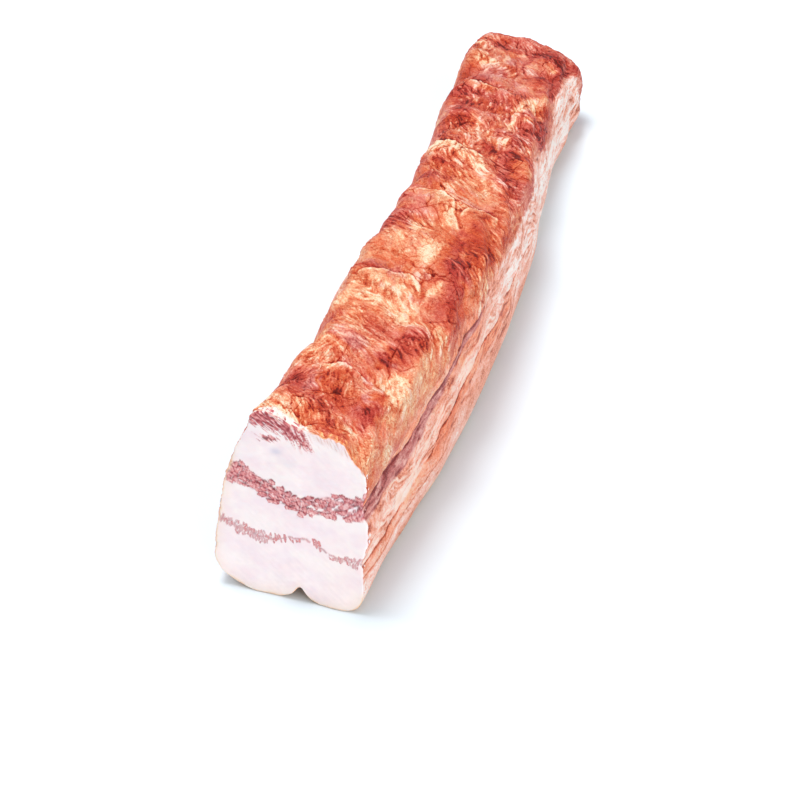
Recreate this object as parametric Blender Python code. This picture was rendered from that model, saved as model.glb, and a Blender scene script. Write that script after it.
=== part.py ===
"""A slab of smoked streaky bacon lying on its rind side.

The near end is a fresh flat cut that leans back a little. From there the slab
runs back along +Y, bows slightly sideways, thins down and ends in a browned,
blunt end. The top is the rib side, with shallow beds where the ribs lay.
Sizes are millimetres until the mesh is made.
"""
import math

import bpy
import numpy as np

MM = 0.001

# The slab as a whole
LENGTH = 340.0          # cut face to the start of the blunt end
END_BULGE = 11.0        # how far the blunt end stands out past that
END_SQUARENESS = 2.8    # 2 is a round end, larger is blunter
END_SKEW = math.radians(13.0)  # the blunt end's left side reaches farther back
END_SKEW_SHARE = 0.15   # share of the length over which the skew builds up
SIDE_BOW = 8.0          # how far the middle bows towards +X
BOW_SKEW = -0.7         # moves the bow towards the near end
THINNING_DELAY = 1.32   # larger keeps the near end's section for longer
CUT_LEAN = math.radians(8.0)
CUT_LEAN_SHARE = 0.15   # share of the length over which the lean fades out

# Sections as x across and z up, counter-clockwise seen from the cut end.
# Both start in the groove under the slab: right lobe, right side, top,
# left side, left lobe. The two lists match point by point.
CUT_SECTION = [
    (3.0, 4.7), (7.0, 0.9), (15.0, -0.5), (22.0, 1.3), (24.6, 6.3), (25.4, 14.0),
    (25.4, 25.0), (25.2, 37.0), (24.6, 46.0), (21.6, 52.4), (16.0, 55.4), (8.0, 56.8),
    (-1.0, 59.6), (-8.6, 61.6), (-13.2, 60.2), (-17.0, 53.0), (-20.6, 44.0), (-23.4, 32.5),
    (-25.2, 21.0), (-26.2, 11.5), (-23.5, 4.6), (-16.0, 0.8), (-7.0, -0.5), (-0.4, 1.5),
]
FAR_SECTION = [
    (1.5, 0.7), (6.5, -0.3), (14.0, -0.6), (20.5, 0.4), (24.5, 3.9), (26.0, 8.5),
    (25.6, 13.0), (24.8, 18.0), (23.4, 23.0), (20.4, 27.5), (15.0, 30.0), (7.0, 31.2),
    (-2.0, 32.6), (-10.0, 34.0), (-16.0, 33.4), (-20.0, 29.0), (-21.6, 24.0), (-22.6, 18.0),
    (-23.6, 12.0), (-24.0, 7.0), (-21.5, 2.4), (-15.5, -0.1), (-7.0, -0.6), (-1.0, 0.2),
]
HALF_WIDTH = 20.0       # past this the full swell of the side applies

# Swells of the two sides: share of the length, millimetres outwards
RIGHT_SWELL = [
    (0, -0.9), (0.07, -1.9), (0.14, -1.0), (0.22, 0.8), (0.32, 1.5), (0.45, 1.5),
    (0.6, 1.0), (0.72, -2.4), (0.82, -3.1), (0.92, -0.9), (1, 2.0),
]
LEFT_SWELL = [
    (0, -0.2), (0.08, -0.5), (0.16, -3.3), (0.23, -1.7), (0.3, 1.5), (0.38, -0.1), (0.46, -1.3),
    (0.54, -2.6), (0.62, -2.0), (0.7, -0.5), (0.78, 1.5), (0.86, 0.1), (0.94, 1.8), (1, 0.0),
]

# Rib side: t counts the section's points, so the top runs from 8.8 to 14.3
TOP_RIGHT = 8.8
TOP_LEFT = 14.3
RIB_PITCH = 38.0        # from one rib to the next
RIB_START = 14.0        # first ridge from the cut face
RIB_CREST = 0.35        # share of the width at which each ridge reaches farthest back
RIB_ARCH = 24.0         # how far the ridge falls back at the sides
RIB_DEPTH = 1.7
RIB_SHARPNESS = 1.5     # 1 is an even wave, larger narrows the ridges
SHOULDER_RIGHT = (8.0, 9.2)     # t over which the rib side's relief rises
SHOULDER_LEFT = (14.1, 15.5)    # t over which it fades again

# Lumps: height, size from crest to crest, seed
TOP_LUMPS = (1.0, 17.0, 4)
SIDE_LUMPS = (0.45, 30.0, 9)
END_LUMPS = (1.3, 19.0, 140)    # crags of the blunt end
END_LUMPS_START = 0.86  # share of the length from which the crags grow
LUMP_WAVES = 12         # sine waves crossed in each kind
LUMP_SPREAD = (0.7, 1.6)        # their lengths, as shares of the size

# t over which the side relief starts above the underside, on the right and on the left
REST_RIGHT = (3.6, 5.0)
REST_LEFT = (19.0, 20.4)

# Creases of the lean bands along the right side:
# t, half width in t, depth, length from the cut face
CREASES = [(7.0, 0.33, 1.5, 125.0), (5.4, 0.24, 1.0, 200.0)]

# The mesh
AROUND = 72
ALONG = 56
END_RINGS = 7
POLE_PROUD = 0.3        # how far the blunt end's middle point stands past its last ring
SMOOTH_ANGLE = math.radians(40.0)

CRUST_COLOR = (0.56, 0.17, 0.09, 1.0)
CRUST_ROUGHNESS = 0.4


def smooth(share):
    """0 to 1 with flat ends: 3x^2 - 2x^3."""
    share = np.clip(share, 0.0, 1.0)
    return share * share * (3.0 - 2.0 * share)


def rise(value, span):
    """0 before the span, 1 after it, smooth within."""
    start, end = span
    return smooth((value - start) / (end - start))


def along(stations, s):
    """Smooth steps between (share of the length, value) stations."""
    places, values = np.array(stations, dtype=float).T
    left = np.clip(np.searchsorted(places, s, side="right") - 1, 0, len(places) - 2)
    share = (s - places[left]) / (places[left + 1] - places[left])
    return values[left] + (values[left + 1] - values[left]) * smooth(share)


def closed_curve(points, t):
    """Point t of the closed Catmull-Rom curve through the points."""
    points = np.array(points, dtype=float)
    first = np.floor(t).astype(int)
    f = (t - first)[..., None]
    p0, p1, p2, p3 = (points[(first + step) % len(points)] for step in (-1, 0, 1, 2))
    squared = (2 * p0 - 5 * p1 + 4 * p2 - p3) * f**2
    cubed = (3 * p1 - p0 - 3 * p2 + p3) * f**3
    return 0.5 * (2 * p1 + (p2 - p0) * f + squared + cubed)


def section(s, t):
    """Section at share s of the length: a blend of the two outlines, with the sides' swells."""
    blend = np.clip(s - 4.0 * (THINNING_DELAY - 1.0) * s * (1.0 - s), 0.0, 1.0)[..., None]
    outline = closed_curve(CUT_SECTION, t) * (1.0 - blend) + closed_curve(FAR_SECTION, t) * blend
    across = outline[..., 0]
    swell = np.where(across > 0.0, along(RIGHT_SWELL, s), -along(LEFT_SWELL, s))
    outline[..., 0] = across + swell * np.clip(np.abs(across) / HALF_WIDTH, 0.0, 1.0)
    return outline


def outward(s, t):
    """Unit normal of the section, pointing out of the slab."""
    step = 0.02
    tangent = section(s, t + step) - section(s, t - step)
    normal = np.stack([tangent[..., 1], -tangent[..., 0]], axis=-1)
    return normal / np.linalg.norm(normal, axis=-1, keepdims=True)


def place(s, across, up, forward):
    """A section's point carried to its place on the bowed centreline."""
    u = 2.0 * s - 1.0
    centre_x = SIDE_BOW * (1.0 - u**2) + BOW_SKEW * u * (1.0 - u**2)
    slope = -4.0 * SIDE_BOW * u + 2.0 * BOW_SKEW * (1.0 - 3.0 * u**2)
    heading = np.stack([slope, np.full_like(slope, LENGTH)], axis=-1)
    heading = heading / np.linalg.norm(heading, axis=-1, keepdims=True)
    lean = up * math.tan(CUT_LEAN) * np.clip(1.0 - s / CUT_LEAN_SHARE, 0.0, 1.0)
    lean = lean - across * math.tan(END_SKEW) * smooth(1.0 - (1.0 - s) / END_SKEW_SHARE)
    x = centre_x + across * heading[..., 1] + forward * heading[..., 0]
    y = LENGTH * (s - 0.5) - across * heading[..., 0] + forward * heading[..., 1] + lean
    return np.stack([x, y, up], axis=-1)


def lumps(points, kind):
    """Smooth seeded lumps of one kind, (height, size, seed): crossed sine waves near that size."""
    height, size, seed = kind
    rng = np.random.default_rng(seed)
    directions = rng.normal(size=(LUMP_WAVES, 3))
    directions /= np.linalg.norm(directions, axis=1, keepdims=True)
    lengths = size * rng.uniform(*LUMP_SPREAD, LUMP_WAVES)
    phases = rng.uniform(0.0, 2.0 * math.pi, LUMP_WAVES)
    total = sum(
        np.sin(points @ direction * (2.0 * math.pi / length) + phase)
        for direction, length, phase in zip(directions, lengths, phases)
    )
    return height * total / math.sqrt(LUMP_WAVES)


def top_mask(t):
    """1 on the rib side, fading to 0 over the two shoulders."""
    return rise(t, SHOULDER_RIGHT) * (1.0 - rise(t, SHOULDER_LEFT))


def rib_beds(y, t):
    """Shallow beds between ridges that arch back across the top."""
    share = np.clip((TOP_LEFT - t) / (TOP_LEFT - TOP_RIGHT), 0.0, 1.0)
    from_ridge = y - RIB_START + RIB_ARCH * ((share - RIB_CREST) / 0.5) ** 2
    ridge = 0.5 + 0.5 * np.cos(2.0 * math.pi * from_ridge / RIB_PITCH)
    return RIB_DEPTH * (ridge**RIB_SHARPNESS - 0.5)


def creases(y, t):
    """Grooves of the lean bands along the right side, dying out along the slab."""
    return -sum(
        depth * np.exp(-(((t - centre) / width) ** 2)) * (1.0 - smooth(y / reach))
        for centre, width, depth, reach in CREASES
    )


def clear_of_rest(t, on_end):
    """1 above the underside, and all over the blunt end."""
    above = rise(t, REST_RIGHT) * (1.0 - rise(t, REST_LEFT))
    return above + (1.0 - above) * on_end


def relief(s, t, end_angle, points):
    """Outward relief: rib beds and lumps on top, creases and low lumps on the sides, none underneath."""
    y = s * LENGTH
    on_end = np.sin(end_angle)
    top = top_mask(t) * (1.0 - on_end)
    height = top * (rib_beds(y, t) + lumps(points, TOP_LUMPS))
    sides = lumps(points, SIDE_LUMPS) + (1.0 - on_end) * creases(y, t)
    crags = rise(s, (END_LUMPS_START, 1.0)) * lumps(points, END_LUMPS)
    return height + clear_of_rest(t, on_end) * (sides + crags)


def slab_surface(s, t, end_angle):
    """The slab's skin: a section swept along the length.

    It closes over the blunt end as end_angle goes from 0 to 90 degrees.
    """
    outline = section(s, t)
    normal = outward(s, t)
    middle = np.array([0.0, 0.5 * outline[..., 1].max(axis=-1).min()])
    shrink = np.cos(end_angle) ** (2.0 / END_SQUARENESS)
    outline = middle + (outline - middle) * shrink[..., None]
    forward = END_BULGE * np.sin(end_angle) ** (2.0 / END_SQUARENESS)
    base = place(s, outline[..., 0], outline[..., 1], forward)
    height = relief(s, t, end_angle, base)
    outline = outline + normal * (height * np.cos(end_angle))[..., None]
    forward = forward + height * np.sin(end_angle)
    up = np.maximum(outline[..., 1], 0.0)
    return place(s, outline[..., 0], up, forward)


def make_slab():
    """One closed mesh: the near cut as a flat fan, the skin, and the blunt end down to a pole."""
    t = np.arange(AROUND) * len(CUT_SECTION) / AROUND
    s = np.concatenate([np.linspace(0.0, 1.0, ALONG + 1), np.ones(END_RINGS)])
    closing = np.linspace(0.0, math.pi / 2.0, END_RINGS + 2)[1:-1]
    end_angle = np.concatenate([np.zeros(ALONG + 1), closing])
    s, t = np.broadcast_arrays(s[:, None], t[None, :])
    rings = slab_surface(s, t, np.broadcast_to(end_angle[:, None], s.shape))
    cut_middle = rings[0].mean(axis=0)
    end_pole = rings[-1].mean(axis=0) + np.array([0.0, POLE_PROUD, 0.0])
    points = np.concatenate([rings.reshape(-1, 3), [cut_middle, end_pole]])

    middle = (points.min(axis=0) + points.max(axis=0)) / 2.0
    points = (points - [middle[0], middle[1], 0.0]) * MM

    ring_count = len(rings)
    last = (ring_count - 1) * AROUND
    cut_index, pole_index = ring_count * AROUND, ring_count * AROUND + 1
    faces = []
    for column in range(AROUND):
        beside = (column + 1) % AROUND
        faces.append((cut_index, column, beside))
        faces.append((pole_index, last + beside, last + column))
        for ring in range(ring_count - 1):
            row = ring * AROUND
            faces.append((row + column, row + AROUND + column, row + AROUND + beside, row + beside))

    mesh = bpy.data.meshes.new("bacon_slab")
    mesh.from_pydata(points.tolist(), [], faces)
    mesh.validate()
    return bpy.data.objects.new("bacon_slab", mesh)


def smoked_crust():
    """Browned, slightly glossy smoked surface."""
    material = bpy.data.materials.new("smoked_crust")
    material.use_nodes = True
    shader = material.node_tree.nodes["Principled BSDF"]
    shader.inputs["Base Color"].default_value = CRUST_COLOR
    shader.inputs["Roughness"].default_value = CRUST_ROUGHNESS
    shader.inputs["Metallic"].default_value = 0.0
    return material


def main():
    for leftover in list(bpy.data.objects):
        bpy.data.objects.remove(leftover)
    collection = bpy.data.collections.new("bacon")
    bpy.context.scene.collection.children.link(collection)
    slab = make_slab()
    slab.data.materials.append(smoked_crust())
    collection.objects.link(slab)
    slab.data.shade_smooth()
    slab.data.set_sharp_from_angle(angle=SMOOTH_ANGLE)


main()
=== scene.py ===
"""Looks of a slab of smoked streaky bacon: its browned rib side, its fatty sides and its fresh cut."""
import functools
import math

import bpy
import numpy as np
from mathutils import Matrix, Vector


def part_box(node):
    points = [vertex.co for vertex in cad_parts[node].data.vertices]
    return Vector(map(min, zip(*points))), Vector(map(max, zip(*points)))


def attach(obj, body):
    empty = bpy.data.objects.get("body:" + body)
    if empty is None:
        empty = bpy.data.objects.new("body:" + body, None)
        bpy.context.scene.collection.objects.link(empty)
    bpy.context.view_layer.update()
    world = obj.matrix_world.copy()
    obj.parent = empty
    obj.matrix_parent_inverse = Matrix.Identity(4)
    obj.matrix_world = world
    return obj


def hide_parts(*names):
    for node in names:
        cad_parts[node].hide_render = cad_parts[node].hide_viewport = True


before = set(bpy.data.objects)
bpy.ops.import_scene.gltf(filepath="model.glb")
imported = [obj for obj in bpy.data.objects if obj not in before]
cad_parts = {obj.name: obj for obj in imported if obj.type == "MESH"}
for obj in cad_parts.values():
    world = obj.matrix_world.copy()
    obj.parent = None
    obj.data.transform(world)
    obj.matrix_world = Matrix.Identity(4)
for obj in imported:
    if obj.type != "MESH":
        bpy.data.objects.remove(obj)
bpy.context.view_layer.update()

bl_info = {
    "name": "Smoked bacon slab",
    "version": (1, 0, 0),
    "blender": (4, 5, 0),
    "location": "View3D > Sidebar > Bacon",
    "description": "Builds the surfaces and finishes of a slab of smoked streaky bacon",
    "category": "Mesh",
}

MM = 0.001
NODE = "bacon_slab"

# The slab's form, in millimetres, as its solid has it. Shares are of the length, from the cut to the far end
LENGTH = 340.0
END_BULGE = 11.0
END_SQUARENESS = 2.8    # exponent of the blunt end's rounding: 2 is a half circle
END_SKEW = math.radians(13.0)
END_SKEW_SHARE = 0.15   # from the far end
SIDE_BOW = 8.0
BOW_SKEW = -0.7
THINNING_DELAY = 1.32   # above 1 the slab thins later
CUT_LEAN = math.radians(8.0)
CUT_LEAN_SHARE = 0.15
# The two outlines, across and up. A place round the slab, t, counts their points from low in the middle
CUT_SECTION = [
    (3.0, 4.7), (7.0, 0.9), (15.0, -0.5), (22.0, 1.3), (24.6, 6.3), (25.4, 14.0),
    (25.4, 25.0), (25.2, 37.0), (24.6, 46.0), (21.6, 52.4), (16.0, 55.4), (8.0, 56.8),
    (-1.0, 59.6), (-8.6, 61.6), (-13.2, 60.2), (-17.0, 53.0), (-20.6, 44.0), (-23.4, 32.5),
    (-25.2, 21.0), (-26.2, 11.5), (-23.5, 4.6), (-16.0, 0.8), (-7.0, -0.5), (-0.4, 1.5),
]
FAR_SECTION = [
    (1.5, 0.7), (6.5, -0.3), (14.0, -0.6), (20.5, 0.4), (24.5, 3.9), (26.0, 8.5),
    (25.6, 13.0), (24.8, 18.0), (23.4, 23.0), (20.4, 27.5), (15.0, 30.0), (7.0, 31.2),
    (-2.0, 32.6), (-10.0, 34.0), (-16.0, 33.4), (-20.0, 29.0), (-21.6, 24.0), (-22.6, 18.0),
    (-23.6, 12.0), (-24.0, 7.0), (-21.5, 2.4), (-15.5, -0.1), (-7.0, -0.6), (-1.0, 0.2),
]
HALF_WIDTH = 20.0
# What the sides swell outwards, at shares of the length
RIGHT_SWELL = [
    (0, -0.9), (0.07, -1.9), (0.14, -1.0), (0.22, 0.8), (0.32, 1.5), (0.45, 1.5),
    (0.6, 1.0), (0.72, -2.4), (0.82, -3.1), (0.92, -0.9), (1, 2.0),
]
LEFT_SWELL = [
    (0, -0.2), (0.08, -0.5), (0.16, -3.3), (0.23, -1.7), (0.3, 1.5), (0.38, -0.1), (0.46, -1.3),
    (0.54, -2.6), (0.62, -2.0), (0.7, -0.5), (0.78, 1.5), (0.86, 0.1), (0.94, 1.8), (1, 0.0),
]
# The rib side between its shoulders, by t, and the rib beds that arch back across it
TOP_RIGHT = 8.8
TOP_LEFT = 14.3
RIB_PITCH = 38.0
RIB_START = 14.0
RIB_CREST = 0.35
RIB_ARCH = 24.0
RIB_DEPTH = 1.7
RIB_SHARPNESS = 1.5
SHOULDER_RIGHT = (8.0, 9.2)
SHOULDER_LEFT = (14.1, 15.5)
# Lumps and the blunt end's tones: height (or strength), size, seed
TOP_LUMPS = (1.0, 17.0, 4)
SIDE_LUMPS = (0.45, 30.0, 9)
END_LUMPS = (1.3, 19.0, 140)
END_LUMPS_START = 0.86
END_CRAGS = [(0.5, 7.0, 31), (0.3, 3.2, 32), (0.15, 1.6, 33)]
END_CRACKS = (1.0, 12.0, 34)
END_CRACK_WIDTH = 0.08
END_CRACK_DEPTH = 0.5
END_TONES = [(0.10, 14.0, 41), (0.10, 4.0, 42), (0.07, 1.8, 43)]
LUMP_UNIT = 1.4         # height at which lumps have about unit spread
LUMP_WAVES = 12
LUMP_SPREAD = (0.7, 1.6)
REST_RIGHT = (3.6, 5.0)
REST_LEFT = (19.0, 20.4)
# Grooves of the right side: t, half width in t, depth, reach
CREASES = [(7.0, 0.33, 1.5, 125.0), (5.4, 0.24, 1.0, 200.0)]
SOLID_AROUND = 72
SOLID_ALONG = 56
SOLID_END_RINGS = 7
TURN = len(CUT_SECTION)

# The skin's pattern grid, in millimetres
CELL = 0.22
SKIN_LENGTH = LENGTH + 32.0
END_SKIN_REACH = 18.0   # of pattern a radian over the blunt end
TABLE_SHARE = 0.33      # where along the slab the distance round it is measured
TABLE_STEPS = 24        # a point of the outline

# The skin's own mesh: where its lengths end, the step between rows in millimetres, rows over the blunt end
SKIN_ENDS = [0.0, 0.115, 0.23, 0.345, 0.46, 0.575, 0.69, 0.805, 0.92, 1.0]
ROW_STEP = 0.25
SKIN_END_ROWS = 40
# Columns round the slab as (from t, to t, how many): right side and top, left side, underside
SKIN_COLUMNS = [(3.6, 14.8, 460), (14.8, 20.6, 88), (20.6, 27.6, 30)]
SHARP_ANGLE = math.radians(75.0)

# Camera, from the photograph's outlines, in metres, degrees and millimetres of lens, and lights, in metres
CAMERA_TARGET = (0.0005, -0.06102, 0.0)
CAMERA_AZIMUTH = 14.29
CAMERA_ELEVATION = 34.0
CAMERA_DISTANCE = 0.80
CAMERA_LENS = 102.87
CAMERA_SENSOR = 36.0
CAMERA_CLIP = (0.01, 20.0)
LIGHTS_AIM = (0.0, 0.0, 0.03)
FLOOR_HALF = 3.0
FLOOR_ROUGHNESS = 0.9
KEY_PLACE = (-0.32, 0.12, 1.45)
FILL_PLACE = (1.02, -0.88, 0.62)

# Fresh cut, in the section's millimetres: x across, z up; half widths by share of the line
LEAN_BAND = [
    (-24.5, 41.4), (-18.0, 40.0), (-14.0, 38.5), (-10.0, 36.9), (-6.0, 35.2), (-2.0, 34.2),
    (1.0, 33.3), (4.0, 33.2), (8.0, 34.2), (12.0, 35.6), (16.0, 36.3), (20.0, 36.6), (26.5, 37.8),
]
LEAN_BAND_HALF = [
    (0, 3.5), (0.15, 3.8), (0.3, 3.8), (0.45, 3.2), (0.53, 3.1), (0.6, 3.8), (0.7, 4.2), (1, 4.1),
]
THIN_BAND = [
    (-26.5, 24.4), (-23.0, 23.2), (-20.0, 21.8), (-16.0, 20.8), (-12.0, 20.0), (-8.0, 19.8), (-4.0, 20.5),
    (-1.0, 21.5), (2.0, 22.0), (5.0, 22.0), (8.0, 21.0), (10.5, 20.0), (12.5, 18.5), (15.0, 17.8),
    (26.5, 17.6),
]
THIN_BAND_HALF = [
    (0, 0.8), (0.1, 1.4), (0.3, 1.7), (0.42, 1.0), (0.5, 0.3), (0.72, 0.4), (0.8, 1.1), (1, 1.4),
]
TOP_STREAK = [(-17.5, 61.6), (-12.0, 60.6), (-7.0, 59.6), (-2.0, 57.8), (1.5, 56.0), (4.5, 53.6)]
TOP_STREAK_HALF = [(0, 2.8), (0.2, 3.1), (0.5, 3.0), (0.8, 2.9), (1, 1.6)]
HUMP = [
    (4.5, 53.5), (6.0, 55.0), (9.0, 56.8), (12.0, 57.6), (15.0, 57.8), (18.0, 57.2), (20.5, 55.4),
    (22.2, 52.6), (23.6, 49.5), (24.6, 45.5), (25.0, 42.0), (26.0, 36.0),
]
GENTLE_SLOPE = math.radians(-32.0)
STEEP_SLOPE = math.radians(-66.0)
BAND_GRAIN = (1.9, 1.55)
BAND_SLANT = 0.12
THIN_GRAIN = (0.8, 1.5)
THIN_SLANT = 0.18
# Heights that only the top streak lies above, and only the thin band below
STREAK_ABOVE = 48.0
THIN_BAND_BELOW = 28.0
# Grey spots in the fat: middle across and up, width, height, strength
BRUISES = [(-5.9, 49.8, 1.9, 1.3, 0.6), (-1.5, 46.5, 2.6, 1.6, 0.25)]
CUT_MIDDLE = (0.0, 29.0)
CUT_LOWEST = 0.05
CUT_THINNEST = 0.15     # how far the plate stands proud at least, away from its rounded edge
# The field of grains: its size across and up, and how far it starts to the left and below
GRAIN_FIELD = (70.0, 80.0)
GRAIN_START = (35.0, 8.0)
CUT_COLUMNS = 520
CUT_RINGS = 120
CUT_INSET = 0.1         # the plate stays this far inside the skin
CUT_PROUD = 0.5
CUT_THICKNESS = 1.6     # how far it reaches into the slab
CUT_ROUNDING = 0.6

# Patches of the rib side, by colour: share of the length, t, length and width in millimetres, strength
PATCHES = {
    "brown": [
        (0.068, 11.6, 19, 14, 1.2), (0.05, 12.6, 10, 10, 0.7), (0.195, 9.6, 15, 10, 1.2),
        (0.185, 10.4, 13, 9, 0.9), (0.27, 9.1, 16, 10, 1.3), (0.40, 9.2, 30, 13, 1.3),
        (0.467, 10.3, 14, 7, 0.8), (0.555, 9.3, 18, 9, 0.9), (0.69, 12.6, 8, 14, 0.8),
        (0.57, 12.3, 6, 26, 0.7), (0.52, 9.2, 9, 6, 0.9), (0.155, 8.9, 6, 8, 0.5), (0.05, 9.6, 8, 4, 0.8),
        (0.39, 12.6, 7, 9, 0.8), (0.87, 10.2, 12, 5, 0.7), (0.025, 9.0, 7, 4, 0.9),
        (0.36, 10.9, 18, 3, 0.5), (0.94, 12.95, 18, 2.5, 0.8), (0.65, 13.6, 16, 10, 0.8),
        (0.235, 12.1, 4, 8, 0.8), (0.112, 11.6, 5, 11, 0.8), (0.165, 11.9, 5, 16, 0.6),
        (0.655, 8.8, 16, 5, 0.9), (0.735, 11.2, 24, 3, 0.9),
    ],
    "maroon": [
        (0.075, 13.3, 16, 12, 1.1), (0.42, 13.5, 24, 15, 1.0), (0.34, 10.0, 20, 10, 1.1),
        (0.405, 10.5, 20, 5, 1.0), (0.735, 13.4, 27, 17, 1.2), (0.695, 9.75, 17, 9, 1.2),
        (0.735, 9.0, 7, 12, 1.1), (0.90, 9.85, 20, 8, 1.2), (0.98, 12.5, 16, 9, 0.9),
        (0.975, 9.6, 14, 16, 1.1), (0.985, 11.0, 12, 10, 0.9), (0.57, 9.9, 12, 7, 1.0),
        (0.515, 14.0, 14, 8, 0.9), (0.76, 8.2, 26, 8, 1.0), (0.03, 10.9, 12, 6, 0.8),
        (0.195, 13.8, 14, 12, 0.9), (0.86, 8.75, 14, 8, 1.0), (0.93, 11.15, 28, 2.5, 0.9),
        (0.075, 9.7, 12, 7, 1.1), (0.79, 12.6, 5, 20, 0.8), (0.30, 12.7, 6, 14, 0.9),
        (0.54, 12.0, 12, 4, 0.8), (0.94, 9.0, 14, 6, 0.9), (0.64, 11.4, 12, 3, 0.8),
        (0.59, 10.25, 10, 4, 0.9), (0.17, 10.6, 8, 5, 0.9), (0.88, 12.0, 10, 6, 0.7),
        (0.83, 12.7, 5, 12, 0.8),
    ],
    "rose": [
        (0.315, 12.2, 5, 18, 0.9), (0.33, 11.3, 8, 7, 0.7), (0.21, 10.7, 6, 10, 0.5),
        (0.77, 9.4, 14, 7, 1.2), (0.80, 11.6, 20, 10, 0.8), (0.53, 12.0, 18, 18, 0.6),
        (0.63, 10.4, 10, 7, 1.2), (0.68, 11.0, 20, 4, 0.7), (0.47, 13.4, 12, 14, 0.7),
        (0.16, 10.8, 20, 3, 0.6), (0.44, 11.0, 10, 5, 0.7), (0.74, 11.7, 20, 5, 0.8),
        (0.83, 10.7, 16, 5, 0.9), (0.535, 13.2, 10, 12, 0.9),
    ],
    "mauve": [
        (0.08, 12.45, 18, 3.5, 1.1), (0.087, 10.4, 7, 6, 1.1), (0.168, 11.8, 5, 17, 1.0),
        (0.86, 12.6, 22, 11, 1.2), (0.93, 11.9, 14, 8, 0.8), (0.31, 11.6, 5, 8, 0.5),
        (0.45, 12.2, 8, 5, 0.5), (0.84, 11.2, 16, 4, 0.8), (0.305, 12.3, 4, 12, 0.6),
        (0.76, 9.4, 8, 4, 0.6),
    ],
    "gold": [
        (0.13, 13.0, 20, 13, 0.9), (0.13, 9.8, 20, 12, 1.2), (0.03, 12.2, 9, 26, 0.9),
        (0.34, 13.3, 24, 20, 0.9), (0.2, 12.3, 14, 11, 0.8), (0.41, 12.0, 18, 10, 1.1),
        (0.6, 12.3, 18, 24, 1.1), (0.84, 13.8, 20, 9, 1.2), (0.94, 13.7, 20, 10, 1.3),
        (0.91, 10.75, 16, 3.5, 1.2), (0.65, 9.4, 13, 7, 1.1), (0.03, 9.9, 8, 7, 0.9),
        (0.1, 8.9, 20, 7, 0.8), (0.155, 12.6, 10, 10, 0.6), (0.49, 12.0, 12, 9, 0.9),
        (0.46, 9.7, 6, 6, 0.8), (0.3, 10.5, 14, 6, 1.1), (0.015, 10.4, 8, 8, 0.5), (0.83, 9.0, 8, 7, 1.0),
        (0.71, 10.7, 22, 2.5, 1.1), (0.74, 12.35, 20, 4, 1.0), (0.87, 13.2, 5, 8, 0.7),
        (0.545, 13.6, 8, 10, 0.8), (0.9, 9.0, 10, 5, 0.8), (0.69, 11.9, 14, 5, 0.8),
        (0.195, 9.0, 14, 4, 0.9),
    ],
    "cream": [
        (0.458, 11.25, 15, 6, 1.3), (0.36, 11.3, 20, 8, 1.2), (0.245, 11.2, 15, 12, 1.1),
        (0.247, 12.7, 14, 10, 1.0), (0.227, 9.6, 6, 12, 1.2), (0.41, 12.1, 12, 5, 0.9),
        (0.605, 12.2, 9, 16, 0.9), (0.61, 9.5, 7, 8, 1.1), (0.58, 11.2, 5, 5, 1.0), (0.81, 9.5, 9, 9, 1.6),
        (0.792, 10.05, 13, 6, 1.6), (0.77, 10.35, 8, 5, 1.5), (0.905, 12.85, 7, 9, 1.2),
        (0.935, 12.2, 12, 4, 0.9), (0.957, 11.6, 6, 5, 0.9), (0.855, 9.6, 4, 10, 1.0),
        (0.94, 9.65, 5, 6, 1.3), (0.772, 8.55, 10, 2.5, 1.0), (0.01, 12.4, 6, 24, 1.3),
        (0.115, 9.4, 8, 6, 0.9), (0.745, 10.75, 20, 1.6, 1.1), (0.29, 11.3, 3, 2, 1.3),
        (0.15, 9.3, 4, 8, 1.0), (0.652, 10.6, 9, 7, 1.2), (0.7, 12.35, 12, 2.5, 0.8),
        (0.37, 8.3, 14, 7, 0.7), (0.32, 8.6, 14, 7, 0.5), (0.595, 9.0, 5, 8, 1.0),
        (0.745, 9.6, 2.5, 10, 0.9), (0.3, 10.6, 14, 2.5, 0.9), (0.6, 13.7, 9, 7, 0.9),
        (0.225, 13.4, 8, 8, 0.7), (0.43, 12.7, 5, 4, 0.7), (0.975, 14.0, 5, 8, 0.8),
    ],
}
# What a patch of each colour does to the crust: tone, rosiness
PATCH_EFFECT = {
    "brown": (-0.21, -0.05), "maroon": (-0.24, 0.5), "rose": (-0.02, 0.55), "mauve": (0.0, 0.0),
    "gold": (0.08, -0.35), "cream": (0.22, -0.4),
}
# Where fibres run in a direction of their own: share, t, length, width, degrees from the slab's length,
# strength
FIBRE_TURNS = [
    (0.13, 13.0, 40, 20, 130, 1.6), (0.07, 11.7, 20, 14, 8, 1.6), (0.28, 11.6, 24, 14, 5, 1.4),
    (0.56, 12.0, 14, 34, 68, 1.5), (0.2, 9.5, 20, 12, 62, 1.5), (0.42, 12.0, 40, 16, 34, 1.2),
    (0.43, 13.6, 24, 14, 48, 1.2), (0.02, 12.4, 14, 30, 72, 1.5), (0.3, 9.2, 14, 14, 100, 1.2),
    (0.65, 12.8, 26, 24, 6, 1.3), (0.74, 11.4, 40, 12, 2, 1.4), (0.9, 11.6, 40, 16, 175, 1.2),
    (0.42, 9.1, 26, 12, 80, 1.4), (0.12, 9.9, 20, 12, 150, 1.2), (0.32, 12.4, 12, 20, 118, 1.4),
    (0.1, 8.6, 70, 12, 30, 1.2), (0.55, 9.3, 20, 12, 75, 1.3),
]

# Lower edge of the browned crust on the two long sides: share of the length, t
CRUST_EDGE_RIGHT = [
    (0, 7.3), (0.1, 7.3), (0.2, 7.7), (0.3, 8.2), (0.36, 8.2), (0.42, 7.9), (0.5, 7.95), (0.56, 7.8),
    (0.62, 8.2), (0.68, 8.1), (0.73, 7.6), (0.78, 7.2), (0.82, 7.4), (0.86, 8.3), (0.9, 8.7), (0.95, 8.4),
    (1, 7.8),
]
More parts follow.
